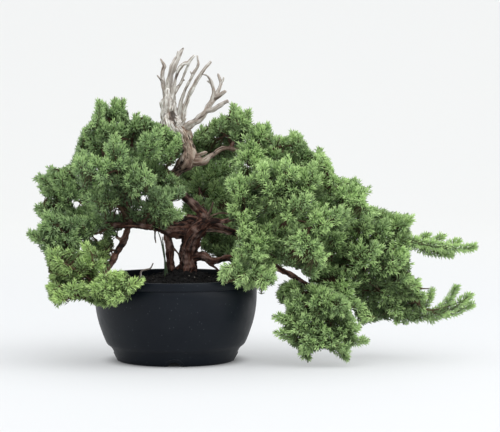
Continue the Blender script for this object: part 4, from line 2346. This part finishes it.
@dataclass
class Foliage:
    """All the leafy branches: they grow in their outlines, and fill what is still open."""

    lengths: tuple = (9, 11.5, 14, 16.5, 19, 21.5)
    variants: int = 3
    cluster_room: float = 10.5 * MM
    furthest: float = 60  # how far a filling twig may reach, in millimetres
    furthest_behind: float = 85  # and how far in the zone behind the wood
    back_roots: float = 25  # branches for that zone start further back than this, in millimetres
    back: tuple = (8, 32)  # how far behind its branch a filling cluster stands, in millimetres
    forward_behind: tuple = (2, 26)  # and how far before it in the zone behind the wood
    nearest_behind: float = 22 * MM
    before_limb: tuple = (3, 11)  # how far before a limb the leaves stand that hide it
    deepest: float = 108 * MM
    fill_foot: float = 7 * MM  # how far a filling cluster's foot is from its middle
    fill_shoot: float = 17 * MM
    fill_side: float = 15 * MM
    tooth: float = 20 * MM  # the shoot that makes an outer point, and the barbs beside it
    barb: float = 12 * MM
    tooth_reach: float = 55  # how far it may stand from its branch, in millimetres
    limb_step: float = 6 * MM
    limb_room: float = 4.5  # how near a leaf has to show to hide a limb, in millimetres
    limb_layers: int = 5  # how many such leaves hide it
    branches: list = field(default_factory=list)

    def build(self) -> None:
        """Grows every branch, fills the outlines and seats the pieces."""
        patterns = self.make_patterns()
        obstacles = Obstacles.of_frame()
        canopies = {
            "left": Canopy(LEFT_OUTLINE, WINDOWS["left"], (-45, 150)),
            "right": Canopy(RIGHT_OUTLINE, WINDOWS["right"], (75, 105), BEHIND_THE_WOOD),
            "cascade": Canopy(CASCADE_OUTLINE, WINDOWS["cascade"], (172, 78)),
        }
        canopies["low_left"], canopies["far_right"] = canopies["left"], canopies["right"]
        crowd = Crowd(self.cluster_room)
        for group, branches in LEAFY_BRANCHES.items():
            for i, (root, twigs) in enumerate(branches, 1):
                number = f"{i:02d}"
                branch = LeafyBranch(number, group, root, twigs, canopies[group], obstacles,
                                     self.habit(group, number), patterns, crowd)
                branch.draw_routes()
                branch.grow()
                self.branches.append(branch)
        for home in WINDOWS:
            canopy = canopies[home]
            mine = [each for each in self.branches if each.canopy is canopy]
            self.grow_teeth(canopy, mine, obstacles)
            for points in SPRAYS[home]:
                branch = min(mine, key=lambda each: each.nearest(*points[0])[0])
                near = branch.nearest(*points[0])[1]
                branch.grow_spray([near, *(canopy.off_sheet(*point, near.y) for point in points)])
            self.hide_limbs(canopy, mine)
            self.fill_gaps(canopy, mine)
        daylight = Daylight([shoot for branch in self.branches for shoot in branch.shoots])
        bark = TwigBark().material()
        for branch in self.branches:
            finish = NEEDLES.get(branch.group, SUNLIT_NEEDLES)
            slot = "bright_needles" if branch.group == "low_left" else "needles"
            piece = branch.build((finish.material(), bark), daylight)
            seat(piece, slot, f"foliage_{branch.group}_{branch.number}")
        LOG.info("shoots: %d", sum(len(branch.shoots) for branch in self.branches))
        for _, mesh in patterns:
            bpy.data.meshes.remove(mesh)

    @staticmethod
    def habit(group: str, number: str) -> Habit:
        """How a branch carries its shoots.

        Args:
            group: The branch's group.
            number: Its number in the group.

        Returns:
            Its habit.
        """
        if (group, number) in SLENDER_BRANCHES:
            return Habit.SLENDER
        return Habit.FAN if group == "low_left" else Habit.BUSHY

    def make_patterns(self) -> list:
        """A few patterns of each length.

        Returns:
            Pairs of a length and its mesh.
        """
        found = []
        for length in self.lengths:
            for i in range(self.variants):
                lean = 46.0 if length < 13 else 60.0
                bend, seed = 0.06 + 0.07 * i, int(length * 10) + i
                pattern = ShootPattern(length * MM, bend, seed, lean_low=lean)
                found.append((length * MM, pattern.mesh()))
        return found

    def grow_teeth(self, canopy: Canopy, branches: list, obstacles: Obstacles) -> None:
        """Grows a barbed shoot to every outer point of an outline.

        Args:
            canopy: The outline.
            branches: The branches that may carry them.
            obstacles: What the shoots keep clear of.
        """
        for x, z, out_x, out_z in canopy.teeth():
            branch = min(branches, key=lambda each: each.nearest(x, z)[0])
            distance, near = branch.nearest(x, z)
            if distance > self.tooth_reach:
                continue
            tip = canopy.off_sheet(x, z, near.y)
            heading = Vector((out_x, branch.rng.uniform(-0.25, 0.25), out_z)).normalized()
            foot = tip - heading * self.tooth
            stem = foot - near
            if stem.length > 3 * MM:
                branch.add_stem(near, foot + heading * MM, stem.normalized())
            shoot = Shoot(foot, heading, self.tooth, branch.rng.uniform(-0.2, 1))
            branch.shoots.append(shoot)
            across = heading.cross(Vector((0, 1, 0))).normalized()
            for share, side in ((-0.1, 1), (0.02, -1), (0.16, 1), (0.3, -1)):
                roam = Vector((0, branch.rng.uniform(-0.6, 0.6), 0))
                away = (heading + across * side * 0.72 + roam).normalized()
                barb = Shoot(shoot.at(share), away, self.barb, shoot.tint)
                if obstacles.is_free(barb):
                    branch.shoots.append(barb)

    def hide_limbs(self, canopy: Canopy, branches: list) -> None:
        """Sets leaves in front of the limbs where too few hide them.

        Args:
            canopy: The outline.
            branches: The branches that may carry the leaves.
        """
        leaves = [
            shoot.at(share)
            for branch in branches for shoot in branch.shoots for share in (0.2, 0.5, 0.8)
        ]
        flat = np.array([(*Canopy.on_sheet(place), place.y) for place in leaves])
        for points in LIVE_LIMBS.values():
            for station in Route(points).stations(self.limb_step):
                x, z = Canopy.on_sheet(station.place)
                front = station.place.y - station.radius
                is_shown = any(math.hypot(x - a, z - b) < r for a, b, r in SHOWN_WOOD)
                if is_shown or canopy.is_behind(x, z) or not canopy.holds(x, z):
                    continue
                near = np.hypot(flat[:, 0] - x, flat[:, 1] - z) < self.limb_room
                if np.count_nonzero(near & (flat[:, 2] < front)) < self.limb_layers:
                    self.fill_one(canopy, branches, x, z, front)

    def fill_gaps(self, canopy: Canopy, branches: list) -> None:
        """Adds clusters further back where the outline can still be seen through.

        Args:
            canopy: The outline.
            branches: The branches that may fill it.
        """
        low, high = np.min(canopy.outline, axis=0), np.max(canopy.outline, axis=0)
        cover = Cover(tuple(low), tuple(high))
        cover.hide([shoot for branch in branches for shoot in branch.shoots])
        for x, z in cover.open_places():
            if cover.is_open(x, z) and canopy.holds(x, z):
                cover.hide(self.fill_one(canopy, branches, x, z))

    @staticmethod
    def effort(distance: float, near: Vector, front: float | None) -> float:
        """How far a cluster stands from a branch, in millimetres, sheet and depth together."""
        return distance if front is None else distance + abs(near.y - front) / MM * 0.8

    def fill_one(
        self, canopy: Canopy, branches: list, x: float, z: float, front: float | None = None
    ) -> list:
        """Adds one cluster whose middle shows at a place on the sheet.

        Args:
            canopy: The outline.
            branches: The branches that may carry it.
            x: Millimetres on the sheet.
            z: Millimetres on the sheet.
            front: The limb's front that it hides, in metres, where it hides one.

        Returns:
            The shoots that were added.
        """
        is_behind = canopy.is_behind(x, z)
        able = branches
        if is_behind:
            able = [each for each in branches if each.root[1] > self.back_roots]
        branch = min(able, key=lambda each: self.effort(*each.nearest(x, z), front))
        distance, near = branch.nearest(x, z)
        if distance > (self.furthest_behind if is_behind else self.furthest):
            return []
        depth = near.y + branch.rng.uniform(*self.back) * MM
        if is_behind:
            depth = max(self.nearest_behind, near.y - branch.rng.uniform(*self.forward_behind) * MM)
        if front is not None:
            depth = front - branch.rng.uniform(*self.before_limb) * MM
        goal = canopy.off_sheet(x, z, min(depth, self.deepest))
        roam = Vector([branch.rng.uniform(-0.6, 0.6) for _ in range(3)])
        heading = (canopy.flow(goal) + roam + Vector((0, 0, 0.15))).normalized()
        foot = goal - heading * self.fill_foot
        if (foot - near).length > 2 * MM:
            branch.add_stem(near, foot, (foot - near).normalized())
        count = len(branch.shoots)
        mood = branch.rng.uniform(-1, 0.6) if front is not None else branch.rng.uniform(-1.7, -0.6)
        branch.add_shoot(foot, heading, self.fill_shoot, mood)
        across = heading.orthogonal().normalized()
        for i in range(2):
            out = Matrix.Rotation((i + branch.rng.random()) * math.pi, 3, heading) @ across
            branch.add_shoot(foot, (heading + out * 0.75).normalized(), self.fill_side, mood)
        return branch.shoots[count:]


# Studio


@dataclass
class Studio:
    """The plain pale floor and backdrop, the soft lights and the viewing point."""

    width: float = 13.0
    front: float = -4.6
    back: float = 2.2
    curve: float = 1.4
    height: float = 5.0
    ambient: float = 0.66
    lamps: tuple = (  # name, place, what it faces, width and watts
        ("overhead", (-0.1, -0.3, 2.1), (0.08, 0, 0.1), 2.4, 22),
        ("front", (0.3, -2.3, 2.9), (0.1, 0, 0.15), 3.4, 22),
        ("left side", (-2.0, -0.9, 1.4), (0, 0, 0.2), 2.2, 7),
        ("right side", (2.0, -0.8, 1.3), (0.1, 0, 0.2), 2.2, 30),
        ("backdrop", (0, 1.3, 2.6), (0, 3.4, 0.3), 2.2, 7),
    )
    finish: PaleFloor = field(default_factory=PaleFloor)

    def build(self) -> None:
        """Builds the floor, hangs the lights and sets the camera."""
        self.sweep()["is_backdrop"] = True
        for lamp in self.lamps:
            self.light(*lamp)
        self.surroundings()
        self.camera()

    def sweep(self) -> Object:
        """One sheet that is the floor and curves up behind.

        Returns:
            The sheet.
        """
        bm = bmesh.new()
        half = self.width / 2
        line = [(self.front, 0.0), (self.back, 0.0)]
        for i in range(1, 13):
            angle = math.pi / 2 * i / 12
            line.append(
                (self.back + self.curve * math.sin(angle), self.curve * (1 - math.cos(angle)))
            )
        line.append((self.back + self.curve, self.height))
        ends = [bm.verts.new((side, *line[0])) for side in (-half, half)]
        edge = bm.edges.new(ends)
        for y, z in line[1:]:
            grown = bmesh.ops.extrude_edge_only(bm, edges=[edge])["geom"]
            verts = [item for item in grown if isinstance(item, BMVert)]
            for vert in verts:
                vert.co.y, vert.co.z = y, z
            edge = bm.edges.get(verts)
        bm.normal_update()
        if bm.faces[:][0].normal.z < 0:
            bmesh.ops.reverse_faces(bm, faces=bm.faces)
        for face in bm.faces:
            face.smooth = True
        return solid_from("floor", bm, self.finish.material())

    def light(self, name: str, place: tuple, target: tuple, size: float, power: float) -> None:
        """Hangs one soft square light.

        Args:
            name: Its name.
            place: Where it hangs.
            target: What it faces.
            size: Its width.
            power: Its power in watts.
        """
        lamp = bpy.data.lights.new(name, "AREA")
        lamp.shape = "SQUARE"
        lamp.size = size
        lamp.energy = power
        obj = bpy.data.objects.new(name, lamp)
        obj.location = place
        obj.rotation_euler = (Vector(target) - Vector(place)).to_track_quat("-Z", "Y").to_euler()
        bpy.context.scene.collection.objects.link(obj)

    def surroundings(self) -> None:
        """Fills the room with even light."""
        world = bpy.data.worlds.new("studio")
        bpy.context.scene.world = world
        world.use_nodes = True
        graph = Graph(world.node_tree)
        shade = world.node_tree.nodes["Background"]
        graph.feed(shade.inputs["Color"], (0.97, 0.985, 1.0))
        way = graph.add("SeparateXYZ", Vector=graph.add("TexCoord").outputs["Generated"])
        strength = graph.between(way.outputs["Z"], self.ambient * 0.9, self.ambient * 1.5)
        graph.feed(shade.inputs["Strength"], strength)
        bpy.context.scene.view_settings.view_transform = "Standard"

    def camera(self) -> None:
        """Sets the viewing point."""
        data = bpy.data.cameras.new("view")
        data.sensor_width = 36
        data.lens = VIEW_LENS
        obj = bpy.data.objects.new("view", data)
        obj.location = VIEW_PLACE
        obj.rotation_euler = (math.pi / 2 - VIEW_PITCH, 0, 0)
        bpy.context.scene.collection.objects.link(obj)
        bpy.context.scene.camera = obj


def write_sizes() -> None:
    """Keeps the solids' box and the finished model's box side by side."""
    boxes = {"cad": CAD_BOX, "visual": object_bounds()}
    plain = {name: [[float(c) for c in corner] for corner in box] for name, box in boxes.items()}


def main() -> None:
    """Builds every sub-assembly in order."""
    logging.basicConfig(level=logging.INFO, format="%(message)s", stream=sys.stdout)
    Studio().build()
    TrainingPot().build()
    SoilBed().build()
    ThinStems().build()
    FusedWood(
        "live_wood", "trunk_and_limbs", "bark", LIVE_LIMBS, Bark(), voxel=1.12 * MM, furrow=0.30,
        deepest=2.5 * MM, checks=0.50, lumps=0.31, breaks=3.0, bare_limbs=BARE_LIMBS,
        bare_from=212 * MM, bare_to=262 * MM,
    ).build()
    FusedWood(
        "silver_crown", "dead_crown", "bare_wood",
        {"stump": CROWN_STUMP, **CROWN_PRONGS}, BareWood(), voxel=0.72 * MM, furrow=0.24,
        deepest=1.7 * MM, checks=0.60, lumps=0.34, breaks=2.0, knots=CROWN_KNOTS,
        bare_limbs=BROWN_PRONGS,
    ).build()
    Foliage().build()


if __name__ == "__main__":
    main()
    write_sizes()
